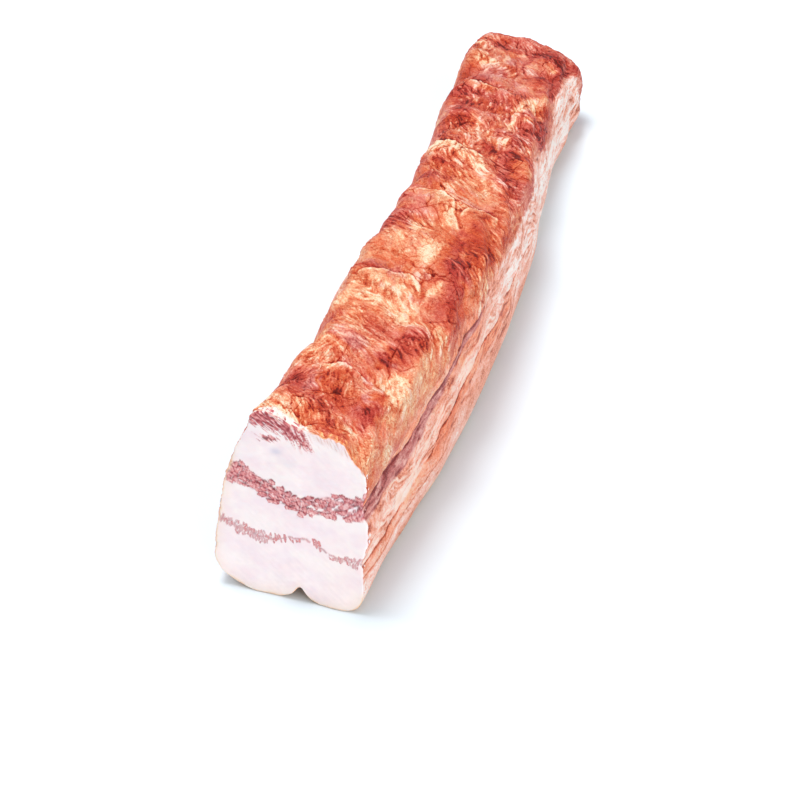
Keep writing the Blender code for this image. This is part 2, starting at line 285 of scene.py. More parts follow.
# The crust's front edge on the rib side: t, millimetres behind the fresh cut
CRUST_FRONT = [
    (8.0, -2.0), (11.0, -2.0), (11.5, 0.8), (12.1, 3.0), (12.9, 3.6), (13.5, 2.2), (13.9, 0.5),
    (14.6, -2.0), (16.0, -2.0),
]
CRUST_EDGE_LEFT = [
    (0, 15.3), (0.15, 15.8), (0.3, 15.4), (0.45, 16.2), (0.6, 15.6), (0.75, 16.3), (0.9, 16.6), (1, 18.5),
]

# Lean bands along the long sides: middle as (share of the length, t), half width as (share, millimetres)
SIDE_BANDS = [
    (
        [
            (0, 6.8), (0.05, 6.78), (0.1, 6.65), (0.15, 6.75), (0.2, 7.05), (0.25, 7.3), (0.3, 7.55),
            (0.335, 7.65), (0.38, 7.1), (1, 7.0),
        ],
        [(0, 2.7), (0.1, 2.5), (0.2, 2.2), (0.25, 1.6), (0.3, 1.1), (0.34, 0.5), (0.38, -1.5), (1, -1.5)],
    ),
    (
        [(0, 17.2), (0.2, 17.0), (0.4, 17.3), (0.7, 17.1), (1, 17.0)],
        [(0, 3.6), (0.3, 2.4), (0.6, 1.2), (0.8, -1.5), (1, -1.5)],
    ),
    (
        [(0, 18.9), (0.3, 18.8), (0.6, 19.0), (1, 18.9)],
        [(0, 1.3), (0.5, 0.9), (0.9, 0.3), (1, -1.5)],
    ),
]
# Arcs in which cream membranes of the rib side end, as (share of the length, t), and the membranes' reach
SCALLOPS = [
    ([(0.62, 14.4), (0.613, 13.4), (0.624, 12.6), (0.618, 11.9), (0.604, 11.3), (0.585, 10.3)], 15.0),
    ([(0.472, 13.6), (0.483, 12.67), (0.49, 11.9), (0.478, 11.5), (0.454, 11.17), (0.43, 10.6)], 13.0),
    ([(0.452, 11.0), (0.475, 10.75), (0.49, 10.3), (0.483, 9.5), (0.468, 9.1)], 9.0),
    ([(0.275, 13.6), (0.287, 13.1), (0.3, 12.42), (0.317, 11.5), (0.305, 11.1), (0.28, 10.7)], 13.0),
    ([(0.81, 13.6), (0.818, 12.7), (0.81, 11.6), (0.796, 10.9)], 9.0),
    ([(0.12, 12.6), (0.132, 11.9), (0.13, 11.1), (0.118, 10.5)], 9.0),
]

# The brown crease low on the right side: share of the length, t
CREASE_LINE = [
    (0, 5.16), (0.05, 5.2), (0.1, 5.25), (0.15, 5.3), (0.18, 5.45), (0.205, 5.95), (0.25, 6.1), (0.3, 6.15),
    (0.35, 6.1), (0.4, 6.0), (0.45, 6.1), (0.5, 6.2), (0.55, 6.05), (0.6, 5.9), (1, 5.9),
]
# Fainter lines, below it near the cut and in the far part
LOWER_LINE = [(0, 4.7), (0.1, 4.9), (0.15, 4.85), (0.2, 5.0), (0.25, 5.4), (1, 5.4)]
FAR_LINE = [(0, 6.2), (0.8, 6.2), (0.86, 6.15), (0.92, 6.2), (1, 6.3)]
CREASE_END = 0.62

# Shared grain, as noise: scale a metre, detail, roughness, distortion
GRAIN_NOISES = {
    "Wrinkles": (620.0, 4.0, 0.65, 1.2),
    "Pits": (2000.0, 2.0, 0.6, 0.0),
    "Patches": (170.0, 4.0, 0.6, 0.0),
    "Bends": (330.0, 3.0, 0.6, 1.6),
}
LINE_FINENESS = 26.0
LINE_PATCHES = (0.45, 9.0)  # lines show where the patches are above the first, as steeply as the second says
# Finishes: lowest roughness and what the patches add, strength and metres of the bumps, softness, shine
SKIN_FINISH = (0.22, 0.4, 0.75, 0.0007, 0.06, 0.2)
CUT_FINISH = (0.26, 0.3, 0.25, 0.0003, 0.25, 0.35)
SOFT_RADIUS = (1.0, 0.55, 0.45)
SOFT_SCALE = 0.0015     # metres
PIT_BUMP = 0.7
LINE_BUMP = 0.3
# How strongly the finishes show the grain and their masks
SKIN_MOTTLING = 0.16
CUT_SPECKLE = 0.35
CUT_MOTTLING = 0.3
MAUVE_SHARE = 0.75
STAIN_SHARE = 0.85
SMOKE_STRENGTH = 1.4

# Scales of the skin: length along, width around, seed
LARGE_SCALES = (17.0, 13.0, 12)
SMALL_SCALES = (6.5, 4.5, 13)
TINY_SCALES = (2.4, 1.7, 14)
# Degrees from the slab's length: the rib side's fibres, how far they stray over wide and narrow patches,
# and how far a large and a small scale turns them
TOP_FIBRES = 44
TOP_STRAY = (24, 12)
SCALE_TURN = (34, 15)
MEMBRANE_FIBRES = 6
MEMBRANE_FAN = 80
SIDE_STRAY = (12, 16)
SIDE_SLANT = 20
# Fibres: grain in millimetres, seed, and how many cells they reach each way
FINE_FIBRES = (5, 4)
FIBRES = {"coarse": (0.75, 6, 7), "broad": (1.9, 7, 12), "strokes": (0.42, 40, 8)}
# Zones round the slab, by t: below and above these is rind, then strips beside the upper lean band, the
# haze of the left side and the crust's paler right edge
RIND_BELOW = 3.9
RIND_ABOVE = 20.4
ABOVE_GROOVE = (6.9, 9.5)
BESIDE_GROOVE = (5.2, 6.9)
LEFT_HAZE = (14.5, 17.6)
RIGHT_EDGE = (7.6, 9.4)
# Spans along the slab in which its far half, far tip and far side come in, and in which the stain above and
# beside the upper lean band and the paler right edge fade out
FAR_HALF = (0.45, 0.65)
FAR_TIP = (0.85, 0.95)
FAR_SIDE = (0.38, 0.58)
ABOVE_GROOVE_FADES = (0.24, 0.44)
BESIDE_GROOVE_FADES = (0.3, 0.5)
RIGHT_EDGE_FADES = (0.3, 0.42)
# Even tones and rosiness that the patterns vary, from 0 (dark, orange) to 1 (pale, rosy)
TOP_TONE = 0.63
SIDE_TONE = 0.64
GROOVE_TONE = 0.54
END_TONE = 0.36
TOP_ROSE = 0.36


def smooth(share):
    """0 to 1 with flat ends: 3x^2 - 2x^3."""
    share = np.clip(share, 0.0, 1.0)
    return share * share * (3.0 - 2.0 * share)


def bell(offset):
    """1 at no offset, falling off to both sides: e to the minus offset squared."""
    return np.exp(-(offset**2))


def rise(value, span):
    """0 before the span, 1 after it, smooth within."""
    start, end = span
    return smooth((value - start) / (end - start))


def along(stations, s):
    """Smooth steps between (share of the length, value) stations."""
    places, values = np.array(stations, dtype=float).T
    left = np.clip(np.searchsorted(places, s, side="right") - 1, 0, len(places) - 2)
    share = (s - places[left]) / (places[left + 1] - places[left])
    return values[left] + (values[left + 1] - values[left]) * smooth(share)


def straight(stations, value):
    """Straight steps between (place, value) stations."""
    return np.interp(value, *np.array(stations, dtype=float).T)


def closed_curve(points, t):
    """Point t of the closed Catmull-Rom curve through the points."""
    points = np.array(points, dtype=float)
    first = np.floor(t).astype(int)
    f = (t - first)[..., None]
    p0, p1, p2, p3 = (points[(first + step) % len(points)] for step in (-1, 0, 1, 2))
    squared = (2 * p0 - 5 * p1 + 4 * p2 - p3) * f**2
    cubed = (3 * p1 - p0 - 3 * p2 + p3) * f**3
    return 0.5 * (2 * p1 + (p2 - p0) * f + squared + cubed)


def section(s, t):
    """Section at share s of the length: a blend of the two outlines, with the sides' swells."""
    blend = np.clip(s - 4.0 * (THINNING_DELAY - 1.0) * s * (1.0 - s), 0.0, 1.0)[..., None]
    outline = closed_curve(CUT_SECTION, t) * (1.0 - blend) + closed_curve(FAR_SECTION, t) * blend
    across = outline[..., 0]
    swell = np.where(across > 0.0, along(RIGHT_SWELL, s), -along(LEFT_SWELL, s))
    outline[..., 0] = across + swell * np.clip(np.abs(across) / HALF_WIDTH, 0.0, 1.0)
    return outline


def outward(s, t):
    """Unit normal of the section, pointing out of the slab."""
    step = 0.02
    tangent = section(s, t + step) - section(s, t - step)
    normal = np.stack([tangent[..., 1], -tangent[..., 0]], axis=-1)
    return normal / np.linalg.norm(normal, axis=-1, keepdims=True)


def place(s, across, up, forward):
    """A section's point carried to its place on the bowed centreline."""
    u = 2.0 * s - 1.0
    centre_x = SIDE_BOW * (1.0 - u**2) + BOW_SKEW * u * (1.0 - u**2)
    slope = -4.0 * SIDE_BOW * u + 2.0 * BOW_SKEW * (1.0 - 3.0 * u**2)
    heading = np.stack([slope, np.full_like(slope, LENGTH)], axis=-1)
    heading = heading / np.linalg.norm(heading, axis=-1, keepdims=True)
    lean = up * math.tan(CUT_LEAN) * np.clip(1.0 - s / CUT_LEAN_SHARE, 0.0, 1.0)
    lean = lean - across * math.tan(END_SKEW) * smooth(1.0 - (1.0 - s) / END_SKEW_SHARE)
    x = centre_x + across * heading[..., 1] + forward * heading[..., 0]
    y = LENGTH * (s - 0.5) - across * heading[..., 0] + forward * heading[..., 1] + lean
    return np.stack([x, y, up], axis=-1)


def lumps(points, kind):
    """Smooth seeded lumps of one kind, (height, size, seed): crossed sine waves near that size."""
    height, size, seed = kind
    rng = np.random.default_rng(seed)
    directions = rng.normal(size=(LUMP_WAVES, 3))
    directions /= np.linalg.norm(directions, axis=1, keepdims=True)
    lengths = size * rng.uniform(*LUMP_SPREAD, LUMP_WAVES)
    phases = rng.uniform(0.0, 2.0 * math.pi, LUMP_WAVES)
    total = sum(
        np.sin(points @ direction * (2.0 * math.pi / length) + phase)
        for direction, length, phase in zip(directions, lengths, phases)
    )
    return height * total / math.sqrt(LUMP_WAVES)


def top_mask(t):
    """1 on the rib side, fading to 0 over the two shoulders."""
    return rise(t, SHOULDER_RIGHT) * (1.0 - rise(t, SHOULDER_LEFT))


def behind_ridge(y, t):
    """Distance behind the first rib's ridge, which arches back across the top."""
    share = np.clip((TOP_LEFT - t) / (TOP_LEFT - TOP_RIGHT), 0.0, 1.0)
    return y - RIB_START + RIB_ARCH * ((share - RIB_CREST) / 0.5) ** 2


def rib_beds(y, t):
    """Shallow beds between ridges that arch back across the top."""
    ridge = 0.5 + 0.5 * np.cos(2.0 * math.pi * behind_ridge(y, t) / RIB_PITCH)
    return RIB_DEPTH * (ridge**RIB_SHARPNESS - 0.5)


def creases(y, t):
    """Grooves of the lean bands along the right side, dying out along the slab."""
    return -sum(
        depth * bell((t - centre) / width) * (1.0 - smooth(y / reach))
        for centre, width, depth, reach in CREASES
    )


def clear_of_rest(t, on_end):
    """1 above the underside, and all over the blunt end."""
    above = rise(t, REST_RIGHT) * (1.0 - rise(t, REST_LEFT))
    return above + (1.0 - above) * on_end


def relief(s, t, end_angle, points):
    """Outward relief: rib beds and lumps on top, creases and low lumps on the sides, none underneath."""
    y = s * LENGTH
    on_end = np.sin(end_angle)
    top = top_mask(t) * (1.0 - on_end)
    height = top * (rib_beds(y, t) + lumps(points, TOP_LUMPS))
    sides = lumps(points, SIDE_LUMPS) + (1.0 - on_end) * creases(y, t)
    crags = rise(s, (END_LUMPS_START, 1.0)) * lumps(points, END_LUMPS)
    return height + clear_of_rest(t, on_end) * (sides + crags)


def slab_surface(s, t, end_angle, detail=None):
    """The slab's skin in millimetres, before it is centred.

    A section is swept along the length and closes over the blunt end as end_angle goes 0 to 90 degrees.
    detail, a function of (s, t, end_angle, points), is added to the solid's relief.
    """
    t_turn = t % TURN
    outline = section(s, t_turn)
    normal = outward(s, t_turn)
    middle = np.array([0.0, 0.5 * top_height()])
    shrink = np.cos(end_angle) ** (2.0 / END_SQUARENESS)
    outline = middle + (outline - middle) * shrink[..., None]
    forward = END_BULGE * np.sin(end_angle) ** (2.0 / END_SQUARENESS)
    base = place(s, outline[..., 0], outline[..., 1], forward)
    height = relief(s, t_turn, end_angle, base)
    if detail is not None:
        height = height + detail(s, t_turn, end_angle, base)
    outline = outline + normal * (height * np.cos(end_angle))[..., None]
    forward = forward + height * np.sin(end_angle)
    up = np.maximum(outline[..., 1], 0.0)
    return place(s, outline[..., 0], up, forward)


@functools.lru_cache(maxsize=1)
def top_height():
    """Height of the lowest of the solid's ring tops, whose half is the level the blunt end closes to."""
    s, t, _ = solid_grid()
    return float(section(s, t)[..., 1].max(axis=-1).min())


@functools.lru_cache(maxsize=1)
def solid_grid():
    """Parameters s, t and end_angle of the solid's own rings."""
    t = np.arange(SOLID_AROUND) * TURN / SOLID_AROUND
    s = np.concatenate([np.linspace(0.0, 1.0, SOLID_ALONG + 1), np.ones(SOLID_END_RINGS)])
    closing = np.linspace(0.0, math.pi / 2.0, SOLID_END_RINGS + 2)[1:-1]
    end_angle = np.concatenate([np.zeros(SOLID_ALONG + 1), closing])
    s, t = np.broadcast_arrays(s[:, None], t[None, :])
    return s, t, np.broadcast_to(end_angle[:, None], s.shape)


@functools.lru_cache(maxsize=1)
def centring():
    """Gap from the solid's box to the swept surface's at their low corners, in millimetres."""
    rings = slab_surface(*solid_grid())
    low = np.array(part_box(NODE)[0]) / MM
    return np.array([rings[..., 0].min() - low[0], rings[..., 1].min() - low[1], 0.0])


@functools.lru_cache(maxsize=1)
def around_table():
    """t and the distance round the slab at it, in millimetres, on the section a third of the way along."""
    t = np.linspace(0.0, TURN, TABLE_STEPS * TURN + 1)
    outline = section(np.full_like(t, TABLE_SHARE), t % TURN)
    steps = np.linalg.norm(np.diff(outline, axis=0), axis=1)
    return t, np.concatenate([[0.0], np.cumsum(steps)])


def around_mm(t):
    """Distance round the slab at t."""
    stations, distance = around_table()
    return np.interp(t % TURN, stations, distance)


@functools.lru_cache(maxsize=1)
def skin_grid():
    """Distance along, distance around and t, at each cell of the skin's pattern grid."""
    stations, distance = around_table()
    columns = int(round(distance[-1] / CELL))
    around = np.arange(columns) * distance[-1] / columns
    down = np.arange(int(SKIN_LENGTH / CELL)) * CELL
    a, w = np.meshgrid(down, around, indexing="ij")
    return a, w, np.interp(w, distance, stations)


def spline_weights(places, knots):
    """Cubic B-spline weights of the knots, which wrap round, at each place: one row a place."""
    first = np.floor(places).astype(int)
    f = places - first
    weights = np.zeros((len(places), knots))
    row = np.arange(len(places))
    parts = ((1 - f) ** 3, 3 * f**3 - 6 * f**2 + 4, -3 * f**3 + 3 * f**2 + 3 * f + 1, f**3)
    for step, part in enumerate(parts):
        weights[row, (first + step - 1) % knots] += part / 6.0
    return weights


def spread(values):
    """The values shifted and scaled to mean 0 and standard deviation 1."""
    return (values - values.mean()) / values.std()


def field(size_along, size_around, seed):
    """Random field of unit spread: a cubic B-spline surface over seeded values, closed round the slab."""
    rows, columns = skin_grid()[0].shape
    knots_along = int(rows * CELL / size_along) + 5
    knots_around = max(5, round(columns * CELL / size_around))
    values = np.random.default_rng(seed).normal(size=(knots_along, knots_around))
    down = spline_weights(np.arange(rows) * CELL / size_along + 1.0, knots_along)
    across = spline_weights(np.arange(columns) * knots_around / columns, knots_around)
    return spread(down @ values @ across.T)


def read(grid, down, across):
    """A grid's value at fractional cells, bilinear, closed round the slab."""
    rows, columns = grid.shape
    down = np.clip(down, 0.0, rows - 1.001)
    r = down.astype(int)
    c = np.floor(across).astype(int)
    fr, fc = down - r, across - c
    c, beside = c % columns, (c + 1) % columns
    near = grid[r, c] * (1 - fc) + grid[r, beside] * fc
    far = grid[r + 1, c] * (1 - fc) + grid[r + 1, beside] * fc
    return near * (1 - fr) + far * fr


def drawn_along(noise, angle, reach):
    """Fibres: every cell becomes the mean of the noise on the line through it that follows the angle.

    The line reaches that many cells each way and never turns back on itself. The angle is taken from the
    slab's length towards rising t.
    """
    rows, columns = noise.shape
    turn_down, turn_across = np.cos(angle), np.sin(angle)
    down, across = np.mgrid[0:rows, 0:columns].astype(float)
    total = noise.copy()
    for sign in (1.0, -1.0):
        r, c = down.copy(), across.copy()
        last_down, last_across = sign * turn_down, sign * turn_across
        for _ in range(reach):
            at_row = np.clip(r, 0, rows - 1).astype(int)
            at_column = np.floor(c).astype(int) % columns
            step_down, step_across = turn_down[at_row, at_column], turn_across[at_row, at_column]
            same_way = np.where(step_down * last_down + step_across * last_across < 0.0, -1.0, 1.0)
            last_down, last_across = step_down * same_way, step_across * same_way
            r += last_down
            c += last_across
            total += read(noise, r, c)
    return spread(total)


def blended_angle(base, turns, warp):
    """The base angle, pulled towards each place's own angle near it. Angles half a turn apart are one."""
    a, w, _ = skin_grid()
    down, across = np.cos(2.0 * base), np.sin(2.0 * base)
    for share, t, length, width, degrees, strength in turns:
        off_a = (a + warp[0] - share * LENGTH) / (0.5 * length)
        off_w = (w + warp[1] - around_mm(t)) / (0.5 * width)
        weight = strength * np.exp(-0.7 * (off_a**2 + off_w**2))
        down += weight * math.cos(math.radians(2.0 * degrees))
        across += weight * math.sin(math.radians(2.0 * degrees))
    return 0.5 * np.arctan2(across, down)


def ovals(places, warp):
    """Sum of soft oval patches on the skin, their edges shifted by the warp in millimetres."""
    a, w, _ = skin_grid()
    total = np.zeros_like(a)
    for share, t, length, width, strength in places:
        down = (a + warp[0] - share * LENGTH) / (0.5 * length)
        across = (w + warp[1] - around_mm(t)) / (0.5 * width)
        total += strength * np.exp(-(down**2 + across**2) * 0.7)
    return total


def scales(length, width, seed, warp):
    """Seeded scales that cover the skin, closed round the slab: a point belongs to the nearest middle.

    Returns the gap to the next scale in millimetres (0 at a border), the scale's own value from 0 to 1, and
    the offset from its middle along and around.
    """
    a, w, _ = skin_grid()
    total = around_table()[1][-1]
    rows, columns = int(SKIN_LENGTH / length) + 4, round(total / width)
    rng = np.random.default_rng(seed)
    jitter_a, jitter_w = rng.uniform(0.1, 0.9, (2, rows, columns))
    value = rng.uniform(0.0, 1.0, (rows, columns))
    u = (a + warp[0]) / length + 1.5
    v = (w + warp[1]) / total * columns
    first_u, first_v = np.floor(u).astype(int), np.floor(v).astype(int)
    nearest = np.full(a.shape, 99.0)
    second = np.full(a.shape, 99.0)
    own, off_a, off_w = np.zeros_like(a), np.zeros_like(a), np.zeros_like(a)
    for step_u in (-1, 0, 1):
        for step_v in (-1, 0, 1):
            row = np.clip(first_u + step_u, 0, rows - 1)
            column = (first_v + step_v) % columns
            to_u = (u - first_u - step_u - jitter_a[row, column]) * length
            to_v = (v - first_v - step_v - jitter_w[row, column]) * width
            distance = np.hypot(to_u, to_v)
            nearer = distance < nearest
            second = np.where(nearer, nearest, np.minimum(second, distance))
            nearest = np.where(nearer, distance, nearest)
            own = np.where(nearer, value[row, column], own)
            off_a = np.where(nearer, to_u, off_a)
            off_w = np.where(nearer, to_v, off_w)
    return second - nearest, own, off_a, off_w


def tilted(scale, slope):
    """Height of scales that each tilt their own way: slope is millimetres per millimetre."""
    gap, own, off_a, off_w = scale
    turn = own * 6.0 * math.pi
    return slope * (off_a * np.cos(turn) + off_w * np.sin(turn)) * smooth(gap / 0.8)


def to_polyline(x, z, corners):
    """Distance of each point to a polyline, positive on its left, and the share of the line nearest to it."""
    best = np.full(x.shape, 1e9)
    side = np.zeros_like(best)
    share = np.zeros_like(best)
    corners = np.array(corners, dtype=float)
    lengths = np.linalg.norm(np.diff(corners, axis=0), axis=1)
    starts = np.concatenate([[0.0], np.cumsum(lengths)])
    for (x0, z0), (x1, z1), length, start in zip(corners[:-1], corners[1:], lengths, starts):
        dx, dz = (x1 - x0) / length, (z1 - z0) / length
        run = np.clip((x - x0) * dx + (z - z0) * dz, 0.0, length)
        off_x, off_z = x - x0 - run * dx, z - z0 - run * dz
        distance = np.hypot(off_x, off_z)
        nearer = distance < best
        best = np.where(nearer, distance, best)
        side = np.where(nearer, np.sign(off_z * dx - off_x * dz), side)
        share = np.where(nearer, (start + run) / starts[-1], share)
    return best * side, share


def band(value, low, high, edge):
    """1 where the value lies between low and high, with smooth edges of the given width."""
    return smooth((value - low) / edge + 0.5) * smooth((high - value) / edge + 0.5)


@functools.lru_cache(maxsize=1)
def scallops():
    """Cream membranes that end in arcs across the top: their share, painted highlight on the edge, line of
    painted shade behind it and fan.
    """
    a, w, _ = skin_grid()
    wander_a = 1.1 * field(9, 7, 60) + 0.5 * field(3.5, 3, 61)
    sheet, rim, behind, fan = (np.zeros_like(a) for _ in range(4))
    for arc, reach in SCALLOPS:
        corners = [(share * LENGTH, float(around_mm(t))) for share, t in arc]
        off, run = to_polyline(a + wander_a, w, corners)
        ends = smooth(run / 0.12) * smooth((1.0 - run) / 0.12)
        under = smooth((-off + 0.4) / 0.8) * smooth((reach + off) / (0.7 * reach)) * ends
        sheet = np.maximum(sheet, under)
        # Painted highlight just inside each membrane's raised edge, and painted shade just beyond it
        rim = np.maximum(rim, bell((off + 0.5) / 0.7) * ends)
        behind = np.maximum(behind, bell((off - 0.6) / 0.45) * ends)
        fan = np.where(under > 0.05, run - 0.5, fan)
    return sheet, rim, behind, fan


def side_marks(a, w, s):
    """The sides' lean bands, their dark edge and the creases, with the main crease's distance and reach."""
    band_wander = 0.4 * field(16, 8, 15) + 0.25 * field(4, 3, 16)
    groove = np.zeros_like(a)
    for middle, widths in SIDE_BANDS:
        from_middle = np.abs(w - around_mm(along(middle, s)) + band_wander)
        groove = np.maximum(groove, smooth((along(widths, s) - from_middle) / 0.6 + 0.5))
    middle, widths = SIDE_BANDS[0]
    from_edge = w - around_mm(along(middle, s)) - along(widths, s) + 0.35 * field(7, 4, 34)
    broken = smooth((field(12, 9, 35) + 1.2) / 0.6)
    groove_edge = bell(from_edge / 0.5) * band(s, 0.01, 0.34, 0.03) * broken

    wander = 0.45 * field(13, 9, 17) + 0.25 * field(4, 3, 18)
    from_crease, from_lower, from_far = (
        w - around_mm(along(line, s)) + wander for line in (CREASE_LINE, LOWER_LINE, FAR_LINE)
    )
    live = 1.0 - smooth((s - CREASE_END + 0.12) / 0.12)
    crease = bell(from_crease / 0.36) * live * smooth((field(10, 8, 36) + 1.1) / 0.8)
    lower = bell(from_lower / 0.4) * (1.0 - smooth((s - 0.2) / 0.05))
    far = bell(from_far / 0.35) * smooth((s - 0.82) / 0.05)
    crease = np.max([crease, 0.6 * lower, 0.6 * far], axis=0)
    return groove, groove_edge, crease, from_crease, live


def fibre_angle(t, s, top, groove, large_own, small_own, warp):
    """Radians from the slab's length: slanting on top, turned in each scale, nearly straight on the sides."""
    sheet, _, _, fan = scallops()
    top_angle = math.radians(TOP_FIBRES) + math.radians(TOP_STRAY[0]) * field(22, 17, 1)
    top_angle = top_angle + math.radians(TOP_STRAY[1]) * field(7, 7, 2)
    top_angle = top_angle + math.radians(SCALE_TURN[0]) * (large_own - 0.5) * 2.0
    top_angle = blended_angle(top_angle, FIBRE_TURNS, warp)
    top_angle = top_angle + math.radians(SCALE_TURN[1]) * (small_own - 0.5) * 2.0
    fanned = math.radians(MEMBRANE_FIBRES) + math.radians(MEMBRANE_FAN) * fan
    top_angle = top_angle * (1.0 - sheet) + sheet * fanned
    side_angle = math.radians(SIDE_STRAY[0]) * field(14, 7, 3)
    side_angle = side_angle + math.radians(SIDE_STRAY[1]) * field(3, 2.2, 4)
    side_angle = side_angle * (1.0 - 0.75 * groove)
    slanting = band(t, 7.0, 9.5, 1.0) * (s < 0.4) * (1.0 - groove)
    side_angle = side_angle + math.radians(SIDE_SLANT) * slanting
    return side_angle + (top_angle - side_angle) * top


def crust_patches(shift, feather, top):
    """Share of each named patch, and the dark line at the patches' edges."""
    patch, edge = {}, np.zeros_like(top)
    for name, places in PATCHES.items():
        soft = ovals(places, shift)
        crisp = smooth((soft - 0.5 + feather) / 0.42 + 0.5)
        patch[name] = crisp * np.clip(soft, 0.5, 1.6)
        edge = np.maximum(edge, bell((crisp - 0.35) / 0.18))
    return patch, edge * smooth((field(8, 6, 38) - 0.1) / 0.5) * top


def crust_extent(a, t, s, top, broad, coarse, fine):
    """Share of the browned crust, which has ragged lower edges, and of the bare strip behind the cut."""
    ragged = 0.16 * field(14, 6, 24) + 0.10 * broad + 0.10 * coarse + 0.05 * fine
    crust = smooth((t - along(CRUST_EDGE_RIGHT, s) + ragged) / 0.35 + 0.5)
    crust = crust * smooth((along(CRUST_EDGE_LEFT, s) - t + ragged) / 0.6 + 0.5)
    crust = np.maximum(crust, smooth((a - LENGTH * 0.985) / 8.0))
    front = straight(CRUST_FRONT, t)
    bare_front = 1.0 - smooth((a - front + 0.4 * coarse + 0.35 * broad + 0.25 * fine) / 1.2 + 0.5)
    return crust * (1.0 - bare_front * top), bare_front


def smoke_stain(w, t, s, from_crease, live, broad, coarse):
    """Share of the smoke's stain on the sides' fat, and of the strip above the upper lean band."""
    from_start = live * smooth((s - 0.19) / 0.03) * (1.0 - smooth((s - 0.36) / 0.2))
    below_crease = band(from_crease, -5.5, 0.3, 1.6) * from_start
    low, high = around_mm(along(LOWER_LINE, s)), around_mm(along(CREASE_LINE, s))
    between_lines = band(w, low, high, 0.8) * (s < 0.2)
    above_groove = band(t, *ABOVE_GROOVE, 0.9) * (1.0 - rise(s, ABOVE_GROOVE_FADES))
    beside_groove = 0.35 * band(t, *BESIDE_GROOVE, 0.8) * (1.0 - rise(s, BESIDE_GROOVE_FADES))
    left_haze = 0.7 * band(t, *LEFT_HAZE, 1.6)
    stain = below_crease + 0.5 * between_lines + above_groove + beside_groove + left_haze
    return np.clip(stain * (1.0 + 0.22 * broad + 0.2 * coarse), 0.0, 1.0), above_groove


